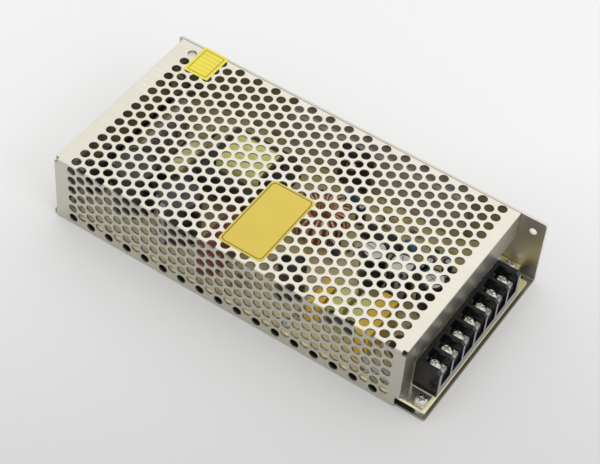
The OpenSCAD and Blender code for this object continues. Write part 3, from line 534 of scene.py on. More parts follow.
@dataclass(frozen=True)
class Ferrite(Finish):
    """Sintered ferrite: dark, close grained, with ground faces and small chips."""

    name: str = "ferrite"
    colour: Colour = (0.035, 0.035, 0.037)
    ground: Colour = (0.10, 0.10, 0.105)
    chipped: Colour = (0.015, 0.015, 0.016)

    def painted(self, p: Paint) -> dict[str, Value]:
        """Paint the ferrite.

        Args:
            p: The material's nodes.
        Returns:
            The shader's sockets.
        """
        speck = p.noise(2600, 2)
        ground = p.noise(500, 3, p.turned(scale=Lay.ALONG.value))
        chip = p.patches(420, 3, 0.6, 0.68, warp=0.8)
        colour = p.mix(p.ranged(speck, 0.4, 0.7) * 0.6, self.colour, self.ground)
        colour = p.mix(chip * 0.5, colour, self.chipped)
        rough = 0.5 + chip * 0.25 - (ground - 0.5) * 0.3
        normal = p.relief(speck * 0.4 + ground * 0.3 - chip, 0.00006, 0.6)
        return dict(Base_Color=colour, Roughness=rough, Normal=normal)


@dataclass(frozen=True)
class Tape(Finish):
    """Polyester tape wound in layers, glossy, with its edges showing across the winding."""

    name: str = "tape"
    colour: Colour = (0.96, 0.96, 0.36)
    under: Colour = (0.82, 0.78, 0.24)
    centre: Point = (0, 0, 0)
    turn: Point = (0, 0, 0)
    pitch: float = 0.0042

    def painted(self, p: Paint) -> dict[str, Value]:
        """Paint the tape.

        Args:
            p: The material's nodes.
        Returns:
            The shader's sockets.
        """
        x, y, z = p.axes(p.turned(self.centre, turn=self.turn))
        wander = (p.noise(160, 2) - 0.5) * 0.0012
        lap = ((x + wander) / self.pitch) % 1.0
        edge = p.ranged(abs(lap - 0.5), 0.42, 0.5)
        wrinkle = p.noise(420, 4, p.turned(self.centre, (0.4, 1, 2.5), self.turn), warp=0.7)
        milky = p.patches(140, 4, 0.38, 0.66)
        colour = p.mix(milky * 0.5, self.colour, self.under)
        return dict(
            Base_Color=p.mix(edge * 0.45, colour, self.under),
            Roughness=0.16 + milky * 0.14 + edge * 0.2,
            Normal=p.relief(lap * 0.4 + wrinkle * 0.8, 0.00012, 0.6),
            Coat_Weight=0.4,
            Coat_Roughness=0.08,
        )


@dataclass(frozen=True)
class Sleeve(Finish):
    """Shrunk sleeve of a can capacitor: one pale stripe down it, thin lines and ripples."""

    name: str = "sleeve"
    colour: Colour = (0.022, 0.026, 0.034)
    stripe: Colour = (0.36, 0.42, 0.50)
    half: float = math.radians(22.0)
    dashes: float = 0.0052
    scuffed: Colour = (0.09, 0.10, 0.12)

    def painted(self, p: Paint) -> dict[str, Value]:
        """Paint the sleeve.

        Args:
            p: The material's nodes.
        Returns:
            The shader's sockets.
        """
        x, y, z = p.axes(p.mark("spot"))
        angle = abs(p.maths("ARCTAN2", y, x))
        dash = (angle < self.half * 0.28) * (((z / self.dashes) % 1.0) > 0.52)
        ripple = p.noise(300, 3, p.turned(scale=(1, 1, 4)), warp=0.5)
        scuff = p.patches(240, 5, 0.5, 0.7, rough=0.65)
        colour = p.mix(scuff * 0.3, self.colour, self.scuffed)
        return dict(
            Base_Color=p.mix((angle < self.half) - dash, colour, self.stripe),
            Roughness=0.26 + scuff * 0.2 + (ripple - 0.5) * 0.1,
            Normal=p.relief(ripple, 0.00008, 0.5),
            Coat_Weight=0.2,
        )


@dataclass(frozen=True)
class CanTop(Finish):
    """The bare aluminium end of a can capacitor, lightly brushed, scored so it can vent."""

    name: str = "can_top"
    colour: Colour = (0.90, 0.90, 0.89)
    stained: Colour = (0.55, 0.53, 0.48)
    scored: Colour = (0.10, 0.10, 0.10)

    def painted(self, p: Paint) -> dict[str, Value]:
        """Paint the can's end, with the cross of its vent.

        Args:
            p: The material's nodes.
        Returns:
            The shader's sockets.
        """
        brushed = p.noise(900, 3, p.turned(scale=(1, 12, 1)))
        stain = p.patches(180, 4, 0.5, 0.7)
        x, y, z = p.axes(p.mark("spot"))
        inside = p.vector("LENGTH", p.joined(x, y, 0.0), output=1) < 0.66
        cross = abs(x).maths("MINIMUM", abs(y))
        score = p.ranged(cross, 0.02, 0.055, 1.0, 0.0) * inside
        colour = p.mix(stain * 0.3, self.colour, self.stained)
        colour = p.mix(score * 0.75, colour, self.scored)
        rough = 0.42 + stain * 0.2 + (brushed - 0.5) * 0.2
        normal = p.relief(brushed - score * 2.0, 0.00003, 0.6)
        return dict(Base_Color=colour, Metallic=0.7, Roughness=rough, Normal=normal)


@dataclass(frozen=True)
class Laminate(Finish):
    """The board's bare laminate: amber, cloudy, with paper fibres and flux stains.

    Outlines are the middles and half sizes of the parts with a line printed round them, a gap
    away, on the board's top. The weave is the width of a thread pair.
    """

    name: str = "laminate"
    colour: Colour = (0.72, 0.56, 0.25)
    light: Colour = (0.88, 0.76, 0.42)
    green: Colour = (0.43, 0.47, 0.14)
    lit_near_side: Colour = (0.97, 0.90, 0.56)
    stained: Colour = (0.30, 0.19, 0.06)
    fibrous: Colour = (0.75, 0.66, 0.40)
    ink: Colour = (0.86, 0.84, 0.76)
    outlines: tuple[tuple[float, float, float, float], ...] = ()
    gap: float = 0.0006
    top: float = 0.0
    weave: float = 0.0008

    def painted(self, p: Paint) -> dict[str, Value]:
        """Paint the board, greener at the far end, with painted light on the near side, and
        printed.

        Args:
            p: The material's nodes.
        Returns:
            The shader's sockets.
        """
        fibre = p.noise(700, 4, p.turned(scale=(1, 3, 1)), warp=0.6)
        flux = p.patches(110, 5, 0.52, 0.66, warp=1.6)
        x, y, z = p.axes(p.place)
        weave = (((x / self.weave) % 1.0) > 0.5) * 0.5 + (((y / self.weave) % 1.0) > 0.5) * 0.5
        far = p.ranged(x, 0.035, 0.075) * p.ranged(y, -0.02, 0.03)
        colour = p.mix(p.patches(45, 4, 0.36, 0.66), self.colour, self.light)
        colour = p.mix(far * 0.5, colour, self.green)
        # Painted light: the near side of the board is painted paler.
        colour = p.mix(p.ranged(y, -0.018, -0.034) * 0.85, colour, self.lit_near_side)
        colour = p.mix(flux * 0.35, colour, self.stained)
        colour = p.mix(fibre * 0.18, colour, self.fibrous)
        printed: Value = 0.0
        for cx, cy, half_x, half_y in self.outlines:
            reach = (abs(x - cx) - half_x).maths("MAXIMUM", abs(y - cy) - half_y)
            line = p.ranged(abs(reach - self.gap), 0.00012, 0.0002, 1.0, 0.0)
            printed = line.maths("MAXIMUM", printed)
        on_top = p.ranged(z, self.top - 0.0003, self.top - 0.0001)
        return dict(
            Base_Color=p.mix(on_top * printed * 0.8, colour, self.ink),
            Roughness=0.38 + flux * -0.16 + (fibre - 0.5) * 0.16,
            Normal=p.relief(fibre * 0.6 + weave * 0.15, 0.00003, 0.5),
            Coat_Weight=0.15,
        )


@dataclass(frozen=True)
class Sticker(Finish):
    """A coated paper sticker with a printed border line round it and faint ruled lines."""

    name: str = "sticker"
    colour: Colour = (0.68, 0.515, 0.062)
    line: Colour = (0.17, 0.12, 0.02)
    rubbed: Colour = (0.60, 0.52, 0.25)
    centre: Point = (0, 0, 0)
    size: tuple[float, float] = (0.02, 0.04)
    corner: float = 0.002
    inset: float = 0.0011
    width: float = 0.00024
    ruled: int = 0

    def border(self, p: Paint) -> Signal:
        """Where the border and the ruled lines are printed.

        Args:
            p: The material's nodes.
        Returns:
            1 on a line and 0 beside it.
        """
        x, y, z = p.axes(p.turned(self.centre))
        out_x, out_y = (
            abs(place) - (length / 2 - self.inset - self.corner)
            for place, length in zip((x, y), self.size)
        )
        corner = p.joined(out_x.maths("MAXIMUM", 0.0), out_y.maths("MAXIMUM", 0.0), 0.0)
        inner = out_x.maths("MAXIMUM", out_y).maths("MINIMUM", 0.0)
        ring = p.vector("LENGTH", corner, output=1) + inner - self.corner
        printed = p.ranged(abs(ring), self.width, self.width + 0.00006, 1.0, 0.0)
        if self.ruled:
            step = (self.size[1] - 2 * self.inset) / self.ruled
            apart = abs(((y / step + 0.5) % 1.0) - 0.5) * step
            rule = p.ranged(apart, self.width * 0.5, self.width * 0.8, 1.0, 0.0)
            printed = printed.maths("MAXIMUM", rule * (ring < 0.0) * 0.55)
        return printed

    def painted(self, p: Paint) -> dict[str, Value]:
        """Paint the sticker.

        Args:
            p: The material's nodes.
        Returns:
            The shader's sockets.
        """
        paper = p.noise(2400, 3)
        scuff = p.patches(260, 5, 0.6, 0.72, warp=1.0)
        bleached = p.patches(60, 3, 0.36, 0.66)
        colour = p.mix(bleached * 0.22, self.colour, shade(self.colour, 1.25))
        colour = p.mix(scuff * 0.2, colour, self.rubbed)
        return dict(
            Base_Color=p.mix(self.border(p) * (1 - scuff * 0.5), colour, self.line),
            Roughness=0.34 + scuff * 0.25 + (paper - 0.5) * 0.12,
            Normal=p.relief(paper, 0.00001, 0.4, p.relief(p.noise(90, 2), 0.0002, 0.12)),
            Coat_Weight=0.12,
        )


@dataclass(frozen=True)
class Enamel(Finish):
    """Enamelled copper wire, glossy, a little different from turn to turn."""

    name: str = "enamelled_wire"
    colour: Colour = (0.97, 0.62, 0.42)
    other: Colour = (0.92, 0.46, 0.27)

    def painted(self, p: Paint) -> dict[str, Value]:
        """Paint the wire.

        Args:
            p: The material's nodes.
        Returns:
            The shader's sockets.
        """
        turn = p.patches(320, 2, 0.36, 0.66)
        streak = p.noise(1800, 2)
        return dict(
            Base_Color=p.mix(turn * 0.7, self.colour, self.other),
            Metallic=0.12,
            Roughness=0.2 + (streak - 0.5) * 0.12 + turn * 0.08,
            Normal=p.relief(streak, 0.00001, 0.4),
            Coat_Weight=0.6,
        )


@dataclass(frozen=True)
class Glassy(Finish):
    """A clear or tinted part: a lamp's lens or a fuse's tube, with faint lines inside it."""

    name: str = "lens"
    colour: Colour = (0.62, 0.70, 0.84)
    pale: Colour = (0.85, 0.9, 0.96)

    def painted(self, p: Paint) -> dict[str, Value]:
        """Paint the glass.

        Args:
            p: The material's nodes.
        Returns:
            The shader's sockets.
        """
        streak = p.noise(500, 3)
        return dict(
            Base_Color=p.mix(p.ranged(streak, 0.35, 0.65) * 0.35, self.colour, self.pale),
            Roughness=0.08 + (streak - 0.4) * 0.12,
            Transmission_Weight=0.35,
            IOR=1.49,
            Normal=p.relief(streak, 0.00004, 0.3),
        )


@dataclass(frozen=True)
class Epoxy(Finish):
    """Dipped or potted epoxy: thick, glossy and uneven, with drips and a few bubbles."""

    name: str = "epoxy"
    colour: Colour = (0.07, 0.25, 0.46)
    dark: Colour = (0.04, 0.15, 0.31)
    rough: float = 0.22

    def painted(self, p: Paint) -> dict[str, Value]:
        """Paint the dip.

        Args:
            p: The material's nodes.
        Returns:
            The shader's sockets.
        """
        flow = p.noise(180, 3, warp=0.8)
        pit = p.patches(1500, 2, 0.62, 0.7)
        return dict(
            Base_Color=p.mix(p.ranged(flow, 0.35, 0.65) * 0.6, self.colour, self.dark),
            Roughness=self.rough + pit * 0.3 + (flow - 0.5) * 0.12,
            Normal=p.relief(flow - pit * 0.2, 0.0002, 0.5),
            Coat_Weight=0.3,
        )


@dataclass(frozen=True)
class Banded(Finish):
    """Small parts with painted bands round them and bare leads at both ends.

    The bands follow each part's own attribute, which runs from 0 to 1 along it.
    """

    name: str = "banded"
    colour: Colour = (0.52, 0.40, 0.25)
    bands: tuple[tuple[float, Colour], ...] = ()
    half: float = 0.045
    lead: Colour = (0.72, 0.71, 0.68)

    def painted(self, p: Paint) -> dict[str, Value]:
        """Paint the body and its bands.

        Args:
            p: The material's nodes.
        Returns:
            The shader's sockets.
        """
        along = p.mark("along", "Fac")
        speck = p.noise(1400, 3)
        colour = p.mix(p.ranged(speck, 0.4, 0.7) * 0.25, self.colour, shade(self.colour, 0.6))
        for place, band in self.bands:
            colour = p.mix(abs(along - place) < self.half, colour, band)
        lead = abs(along - 0.5) > 0.40
        return dict(
            Base_Color=p.mix(lead, colour, self.lead),
            Roughness=0.3 + (speck - 0.5) * 0.2,
            Metallic=lead,
            Normal=p.relief(speck, 0.00003, 0.5),
        )


# ---------------------------------------------------------------- shaping trees


class Shaping(Graph):
    """A Geometry Nodes tree with named inputs that ends in realised, painted geometry."""

    def __init__(self, name: str, inputs: dict[str, float | int]) -> None:
        """Start a tree.

        Args:
            name: The tree's name.
            inputs: Its inputs and their first values, whole numbers for counts.
        """
        super().__init__(bpy.data.node_groups.new(name, "GeometryNodeTree"))
        face = self.tree.interface
        face.new_socket("Geometry", in_out="INPUT", socket_type="NodeSocketGeometry")
        self.sockets: dict[str, str] = {}
        for title, value in inputs.items():
            kind = "NodeSocketInt" if isinstance(value, int) else "NodeSocketFloat"
            socket = face.new_socket(title, in_out="INPUT", socket_type=kind)
            socket.default_value = value
            self.sockets[title] = socket.identifier
        face.new_socket("Geometry", in_out="OUTPUT", socket_type="NodeSocketGeometry")
        outputs = self.add("NodeGroupInput").socket.node.outputs
        self.given = {title: Signal(self, outputs[title]) for title in inputs}
        self.host = Signal(self, outputs["Geometry"])
        self.place = self.add("GeometryNodeInputPosition")
        self.index = self.add("GeometryNodeInputIndex")

    def clamped(self, value: Signal, low: Value, high: Value) -> Signal:
        """Hold a value between two others."""
        return value.maths("MAXIMUM", low).maths("MINIMUM", high)

    def moved(self, geometry: Signal, place: Value, where: Value = True) -> Signal:
        """Set where some points are."""
        inputs = {"Geometry": geometry, "Position": place, "Selection": where}
        return self.add("GeometryNodeSetPosition", None, inputs)

    def stepped(self, geometry: Signal, where: Value = True) -> tuple[Signal, Signal]:
        """Grow a copy of faces in place, with walls to their old edges.

        Args:
            geometry: A mesh.
            where: Which faces.
        Returns:
            The mesh and the selection of the new faces.
        """
        inputs = {"Mesh": geometry, "Selection": where, "Offset Scale": 0.0, "Individual": True}
        grown = self.add("GeometryNodeExtrudeMesh", {"mode": "FACES"}, inputs)
        return grown, Signal(self, grown.socket.node.outputs["Top"])

    def disc(self, sides: int) -> Signal:
        """A flat disc of radius 1, as one face."""
        inputs = {"Vertices": sides, "Radius": 1.0}
        return self.add("GeometryNodeMeshCircle", {"fill_type": "NGON"}, inputs)

    def turned(self, profile: Sequence[tuple[Value, Value]], sides: int) -> Signal:
        """Turn a closed solid from the axis outwards and up.

        Args:
            profile: Radius and height of each ring, from the bottom to the top.
            sides: Facets round the axis.
        Returns:
            The mesh, its axis on Z.
        """
        last, height = profile[0]
        x, y, z = self.axes(self.place)
        body = self.moved(self.disc(sides), self.joined(x * last, y * last, height))
        base = self.add("GeometryNodeFlipFaces", None, {"Mesh": body})
        top: Value = True
        for radius, height in profile[1:]:
            body, top = self.stepped(body, top)
            scale = self.maths("DIVIDE", radius, last)
            body = self.moved(body, self.joined(x * scale, y * scale, height), top)
            last = radius
        return self.merged(self.together(base, body))

    def together(self, *parts: Signal) -> Signal:
        """Join geometries."""
        return self.add("GeometryNodeJoinGeometry", None, {"Geometry": parts})

    def merged(self, geometry: Signal, reach: float = 0.01 * MM) -> Signal:
        """Join points closer than reach."""
        inputs = {"Geometry": geometry, "Distance": reach}
        return self.add("GeometryNodeMergeByDistance", None, inputs)

    def copied(self, geometry: Signal, points: Signal, **inputs: Value) -> Signal:
        """Stand copies of a geometry on points, with any other inputs by name."""
        inputs = {"Points": points, "Instance": geometry, **inputs}
        return self.add("GeometryNodeInstanceOnPoints", None, inputs)

    def marked(self, geometry: Signal, name: str, value: Value, kind: str = "FLOAT") -> Signal:
        """Store an attribute on a geometry's points.

        Args:
            geometry: The geometry.
            name: The attribute's name.
            value: Its value.
            kind: The type of its data.
        Returns:
            The geometry with the attribute.
        """
        inputs = {"Geometry": geometry, "Name": name, "Value": value}
        settings = {"data_type": kind, "domain": "POINT"}
        return self.add("GeometryNodeStoreNamedAttribute", settings, inputs)

    def mark(self, name: str) -> Signal:
        """What a stored number of that name says."""
        return self.add("GeometryNodeInputNamedAttribute", {"data_type": "FLOAT"}, {"Name": name})

    def realised(self, geometry: Signal) -> Signal:
        """Make a plain mesh of any copies."""
        return self.add("GeometryNodeRealizeInstances", None, {"Geometry": geometry})

    def closed(self, geometry: Signal, *finishes: tuple[Finish, Value]) -> None:
        """End the tree: realise the instances and set their materials.

        Args:
            geometry: The finished geometry.
            finishes: Each finish and the faces it goes on.
        """
        solid = self.realised(geometry)
        for finish, where in finishes:
            inputs = {"Geometry": solid, "Selection": where, "Material": finish.material()}
            solid = self.add("GeometryNodeSetMaterial", None, inputs)
        self.add("NodeGroupOutput", None, {"Geometry": solid})

    def shaped(
        self, name: str, values: dict[str, float | int], host: bpy.types.Mesh | None = None
    ) -> bpy.types.Object:
        """Run the tree and keep its result as a plain mesh.

        Args:
            name: The piece's name.
            values: Values of the tree's inputs, by name.
            host: The mesh that goes in, none for an empty one.
        Returns:
            The piece, with no modifier left.
        """
        piece = linked(name, host or bpy.data.meshes.new(name))
        modifier = piece.modifiers.new("shape", "NODES")
        modifier.node_group = self.tree
        for title, value in values.items():
            modifier[self.sockets[title]] = value
        return baked(piece)


# ---------------------------------------------------------------- making pieces


@dataclass(frozen=True)
class Soft:
    """How far a piece's sharp edges are rounded."""

    width: float = 0.12 * MM
    segments: int = 2
    above: float = math.radians(30.0)


def linked(name: str, data: bpy.types.ID) -> bpy.types.Object:
    """Put a mesh, a lamp or a camera in the scene.

    Args:
        name: The object's name.
        data: What it shows.
    Returns:
        The new object.
    """
    placed = bpy.data.objects.new(name, data)
    bpy.context.scene.collection.objects.link(placed)
    return placed


def meshed(name: str, work: bmesh.types.BMesh) -> bpy.types.Mesh:
    """Make a mesh of what has been drawn, and free the drawing.

    Args:
        name: The mesh's name.
        work: The drawing.
    Returns:
        The mesh.
    """
    mesh = bpy.data.meshes.new(name)
    work.to_mesh(mesh)
    work.free()
    return mesh


def drawn(node: str) -> bmesh.types.BMesh:
    """A drawing of a node's mesh with its doubled points joined.

    Args:
        node: The frame's node.
    Returns:
        The drawing.
    """
    work = bmesh.new()
    work.from_mesh(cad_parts[node].data)
    bmesh.ops.remove_doubles(work, verts=work.verts, dist=WELD)
    return work


def baked(piece: bpy.types.Object) -> bpy.types.Object:
    """Bake a piece's modifiers into its mesh.

    Args:
        piece: The object, with any modifiers.
    Returns:
        The same object.
    """
    if piece.modifiers:
        graph = bpy.context.evaluated_depsgraph_get()
        mesh = bpy.data.meshes.new_from_object(piece.evaluated_get(graph))
        piece.modifiers.clear()
        piece.data = mesh
    return piece


def settled(piece: bpy.types.Object, sharp: float = 40.0) -> bpy.types.Object:
    """Bake a piece and shade it smooth between its sharp edges, its large faces kept flat.

    Args:
        piece: The object, with any modifiers.
        sharp: Edges over this angle stay sharp, in degrees.
    Returns:
        The same object.
    """
    baked(piece)
    piece.data.shade_smooth()
    piece.data.set_sharp_from_angle(angle=math.radians(sharp))
    piece.modifiers.new("flat", "WEIGHTED_NORMAL").keep_sharp = True
    return baked(piece)


def fitted(piece: bpy.types.Object, body: str, slot: str, *nodes: str) -> None:
    """Seat a finished piece on its body in place of the frame's nodes.

    Args:
        piece: The finished piece.
        body: The body it moves with.
        slot: The slot name of its finish, not used.
        nodes: The nodes it stands for.
    """
    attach(piece, body)
    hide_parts(*nodes)
    log.info("%s: %d faces on %s", piece.name, len(piece.data.polygons), body)


def coated(mesh: bpy.types.Mesh, finish: Finish) -> None:
    """Make a finish a mesh's only one."""
    mesh.materials.clear()
    mesh.materials.append(finish.material())


def refined(node: str, finish: Finish, soft: Soft = Soft()) -> bpy.types.Object:
    """A copy of a node's shape with its edges rounded, not yet seated.

    Args:
        node: The frame's node.
        finish: Its finish.
        soft: How its edges are rounded.
    Returns:
        The piece.
    """
    work = drawn(node)
    bmesh.ops.dissolve_limit(work, angle_limit=LEVEL, verts=work.verts, edges=work.edges)
    mesh = meshed(node + "_finished", work)
    piece = linked(mesh.name, mesh)
    coated(mesh, finish)
    rounded = piece.modifiers.new("edges", "BEVEL")
    rounded.width = soft.width
    rounded.segments = soft.segments
    rounded.limit_method = "ANGLE"
    rounded.angle_limit = soft.above
    rounded.use_clamp_overlap = True
    return settled(piece)


def dressed(node: str, finish: Finish) -> None:
    """Give a frame's node a finish and keep its shape."""
    coated(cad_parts[node].data, finish)
    log.info("%s: dressed as %s", node, type(finish).__name__)


def middle(node: str) -> Point:
    """The middle of a node's box."""
    low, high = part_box(node)
    return tuple((low + high) / 2)


def solids(node: str) -> list[tuple[Vector, Vector]]:
    """The boxes of a node's separate solids.

    Args:
        node: The frame's node.
    Returns:
        The low and high corner of each.
    """
    work = drawn(node)
    found, seen = [], set()
    for start in work.verts:
        if start in seen:
            continue
        seen.add(start)
        island, waiting = [], [start]
        while waiting:
            vert = waiting.pop()
            island.append(vert.co.copy())
            for edge in vert.link_edges:
                other = edge.other_vert(vert)
                if other not in seen:
                    seen.add(other)
                    waiting.append(other)
        low, high = (Vector([end(axis) for axis in zip(*island)]) for end in (min, max))
        found.append((low, high))
    work.free()
    return found


def measured(piece: bpy.types.Object, boxes: Sequence[tuple[Vector, Vector]]) -> bpy.types.Object:
    """Mark how far along its own solid each point of a piece lies, from 0 to 1.

    Args:
        piece: The piece.
        boxes: The boxes of its solids.
    Returns:
        The same piece.
    """
    marks = piece.data.attributes.new("along", "FLOAT", "POINT")
    for vert, mark in zip(piece.data.vertices, marks.data):
        low, high = min(boxes, key=lambda box: (vert.co - (box[0] + box[1]) / 2).length)
        axis = 0 if high.x - low.x > high.y - low.y else 1
        mark.value = (vert.co[axis] - low[axis]) / (high[axis] - low[axis])
    return piece


def band(work: bmesh.types.BMesh, rows: Sequence[Sequence[Vector]], turned: bool) -> None:
    """Join neighbouring rows of points with faces.

    Args:
        work: The drawing to add to.
        rows: The rows of points.
        turned: Whether the faces look the other way.
    """
    for one, two in zip(rows, rows[1:]):
        for corners in zip(one, one[1:], two[1:], two):
            order = corners[::-1] if turned else corners
            work.faces.new([work.verts.new(corner) for corner in order])


def replaced(node: str, finish: Finish, soft: Soft = Soft()) -> None:
    """Seat a rounded copy of a node of the case in its place."""
    fitted(refined(node, finish, soft), "case", node, node)


# ---------------------------------------------------------------- sub-assemblies


class CrossLine(IntEnum):
    """Cross lines of the cover's blank where its parts begin and end, from its far edge."""

    START = 0
    LIP_END = 113
    FOLD_START = 123
    CREASE_START = 124
    CREASE_END = 125
    FOLD_END = 127
    FOOT_START = 163
    FOOT_END = 165
    LAST = 173


@dataclass
class MeshCover:
    """The perforated cover: a blank with punched columns of holes, folded over the case.

    Sizes are in millimetres. A place on the flat blank is its X and its distance from the case's
    far edge, which grows over the top, round the long fold and down the mesh side. Cross lines
    divide each row of holes in row_lines steps, and each column has column_lines steps.
    """

    hole: float = 4.6
    column: float = 5.04
    row: float = 6.2
    columns: int = 34
    rows: int = 21
    column_lines: int = 4
    row_lines: int = 8
    first: float = 4.24
    margin: float = 9.5
    inner: float = 4.4
    step: float = 0.8
    sheet: float = 0.8
    bend: float = 1.3
    crease: float = 0.35
    arc: float = 2.1
    relief: float = 0.5
    lip: float = 22.8
    lip_gap: float = 9.6
    side_gap: float = 0.8
    wall_gap: float = 1.2
    foot: float = 10.8
    foot_bend: float = 0.6
    foot_gap: float = 0.2
    foot_lines: tuple[float, ...] = (3.8, 6.6, 9.2)
    foot_steps: tuple[float, ...] = (4.0, 8.0)
    foot_start: float = 127.7
    foot_end: float = 128.8
    close: float = 0.001
    low: Vector = field(default_factory=lambda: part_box("cover")[0] / MM)
    high: Vector = field(default_factory=lambda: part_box("cover")[1] / MM)
    far: float = field(default_factory=lambda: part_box("chassis")[1].y / MM)
    board: float = field(default_factory=lambda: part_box("circuit_board")[1].z / MM)

    def __post_init__(self) -> None:
        """Work out where the top and the long fold begin and end."""
        self.right = self.high.x - self.foot
        self.seam = self.right - self.bend
        self.start = self.low.x + self.margin - self.column / 2
        self.fold = self.far - self.low.y - self.bend
        self.fold_end = self.fold + self.arc

    def build(self) -> None:
        """Punch, fold and seat the cover."""
        values = {"Hole": self.hole * MM}
        piece = self.tree(values).shaped("punched_cover", values, self.blank())
        wall = piece.modifiers.new("sheet", "SOLIDIFY")
        wall.thickness = self.sheet * MM
        wall.offset = -1.0
        wall.use_even_offset = True
        wall.use_quality_normals = True
        wall.material_offset_rim = 1
        piece.data.materials.append(PunchedEdge().material())
        fitted(settled(piece, 38.0), "case", "cover", "cover")

    def line(self, n: float) -> float:
        """Distance of the blank's n-th cross line from the far edge."""
        return self.first - self.row / 2 + n * self.row / self.row_lines

    def flat(self, x: float, n: int) -> Vector:
        """A point of the flat blank, no further than the blank's own edges.

        Args:
            x: Its X.
            n: Its cross line, which is shifted at the seam where the lip or the foot ends.
        Returns:
            The point.
        """
        s = self.line(n)
        if n == CrossLine.LIP_END and x >= self.seam - self.close:
            s = self.far - self.low.y - self.lip_gap
        elif x >= self.seam - self.step - self.close:
            ends = {CrossLine.FOOT_START: self.foot_start, CrossLine.FOOT_END: self.foot_end}
            s = ends.get(n, s)
        lowest = self.low.y - self.high.z + self.side_gap
        return Vector((x, max(min(self.far - s, self.high.y), lowest), self.high.z))

    def spread(
        self, work: bmesh.types.BMesh, uprights: Sequence[float], first: int, end: int
    ) -> None:
        """Fill the flat blank between upright lines, from one cross line to another."""
        rows = [[self.flat(x, n) for x in uprights] for n in range(first, end + 1)]
        band(work, rows, True)

    def blank(self) -> bpy.types.Mesh:
        """The margins round the holes, flat, and the flaps already in place.

        Returns:
            The mesh, with an attribute that marks what is in place.
        """
        work = bmesh.new()
        in_place = work.verts.layers.float.new("in_place")
        wall, line = self.low.x + self.bend, CrossLine
        left = [self.low.x, wall, wall + self.relief, self.low.x + self.inner, self.start]
        right = [self.start + self.columns * self.column, self.seam - self.step, self.seam]
        self.spread(work, left[1:], line.START, line.FOLD_START)
        self.spread(work, left[2:], line.FOLD_START, line.FOLD_END)
        self.spread(work, left, line.FOLD_END, line.LAST)
        self.spread(work, right, line.START, line.FOLD_START)
        self.spread(work, right[:2], line.FOLD_START, line.LAST)
        self.spread(work, right[1:], line.FOLD_END, line.FOOT_END)
        for i in range(self.columns):
            start, step = self.start + i * self.column, self.column / self.column_lines
            uprights = [start + j * step for j in range(self.column_lines + 1)]
            first = 0 if i % 2 else self.row_lines // 2
            self.spread(work, uprights, line.START, first)
            self.spread(work, uprights, first + self.rows * self.row_lines, line.LAST)
        flat_count = len(work.verts)
        self.flaps(work)
        work.verts.ensure_lookup_table()
        for vert in work.verts[flat_count:]:
            vert[in_place] = 1.0
        for vert in work.verts:
            vert.co *= MM
        return meshed("cover_blank", work)

    def creased(self, reach: float) -> list[tuple[float, float]]:
        """The section of an end's fold and its flap.

        Args:
            reach: How far the flap goes.
        Returns:
            How far each point lies out from the seam and in from the sheet.
        """
        fine, turns = self.crease, [math.radians(22.5 * k) for k in range(5)]
        steps = [(self.bend - fine + fine * math.sin(a), fine - fine * math.cos(a)) for a in turns]
        return [(0.0, 0.0), *steps, (self.bend, reach)]

    def down(self, side: int, y: float, bottom: float) -> list[Vector]:
        """Points down a fold of the top and its flap.

        Args:
            side: -1 at the end wall and 1 at the terminals.
            y: Their Y.
            bottom: The flap's lower edge.
        Returns:
            The points, from the seam.
        """
        seam, top = self.low.x + self.bend if side < 0 else self.seam, self.high.z
        section = self.creased(top - bottom)
        return [Vector((seam + side * out, y, top - fall)) for out, fall in section]

    def flaps(self, work: bmesh.types.BMesh) -> None:
        """Add the end wall, the lip, the flange and its foot, already folded.

        Args:
            work: The drawing to add to.
        """
        line, side = CrossLine, self.low.y
        lines = range(line.START, line.FOLD_START + 1)
        near = [self.flat(0.0, n).y for n in lines]
        edge = [self.flat(self.seam, n).y for n in lines]
        band(work, [self.down(-1, y, self.low.z + self.wall_gap) for y in near], False)
        band(work, [self.down(1, y, self.lip) for y in edge[: line.LIP_END + 1]], True)
        bottom = self.high.z - self.bend
        band(work, [self.down(1, y, bottom) for y in edge[line.LIP_END :]], True)
        hung = [self.flat(self.seam, n).y for n in range(line.FOLD_END, line.FOOT_END + 1)]
        heights = [bottom - (self.far - y - self.fold_end) for y in hung]
        section = [(self.seam + out, side + into) for out, into in self.creased(self.bend)]
        band(work, [[Vector((x, y, z)) for x, y in section] for z in heights], True)
        foot = self.board + 2 * self.foot_bend + self.foot_gap
        path = [(self.right, z) for z in heights if z > foot - self.close]
        for k in range(1, 5):
            a = math.radians(22.5 * k)
            out, fall = self.foot_bend * (1 - math.cos(a)), self.foot_bend * math.sin(a)
            path.append((self.right + out, foot - fall))
        ends = [self.right + out for out in self.foot_steps] + [self.high.x]
        path += [(x, path[-1][1]) for x in ends]
        across = [side + out for out in (self.bend, *self.foot_lines)]
        band(work, [[Vector((x, y, z)) for y in across] for x, z in path], True)

    def cell(self, t: Shaping, rings: int) -> Signal:
        """One cell of the pattern with its hole, round its own middle.

        Args:
            t: The tree.
            rings: Rings of faces from the cell's edge to the hole.
        Returns:
            The cell.
        """
        wide, tall = self.column_lines, self.row_lines
        k = t.index + 0.0
        up = t.clamped(k, 0.0, tall) - t.clamped(k - (tall + wide), 0.0, tall)
        along = t.clamped(k - tall, 0.0, wide) - t.clamped(k - (2 * tall + wide), 0.0, wide)
        half_x, half_y = self.column * MM / 2, self.row * MM / 2
        x, y = half_x - along * (2 * half_x / wide), up * (2 * half_y / tall) - half_y
        body, top = t.moved(t.disc(2 * (wide + tall)), t.joined(x, y, 0.0)), True
        for ring in range(rings, 0, -1):
            body, top = t.stepped(body, top)
            way = {0: t.vector("NORMALIZE", t.place), "Scale": t.given["Hole"] / 2}
            rim = t.add("ShaderNodeVectorMath", {"operation": "SCALE"}, way)
            ends = {0: 1.0 / ring, 4: t.place, 5: rim}
            body = t.moved(body, t.add("ShaderNodeMix", {"data_type": "VECTOR"}, ends, 1), top)
        inputs = {"Geometry": body, "Selection": top}
        return t.add("GeometryNodeDeleteGeometry", {"domain": "FACE"}, inputs)

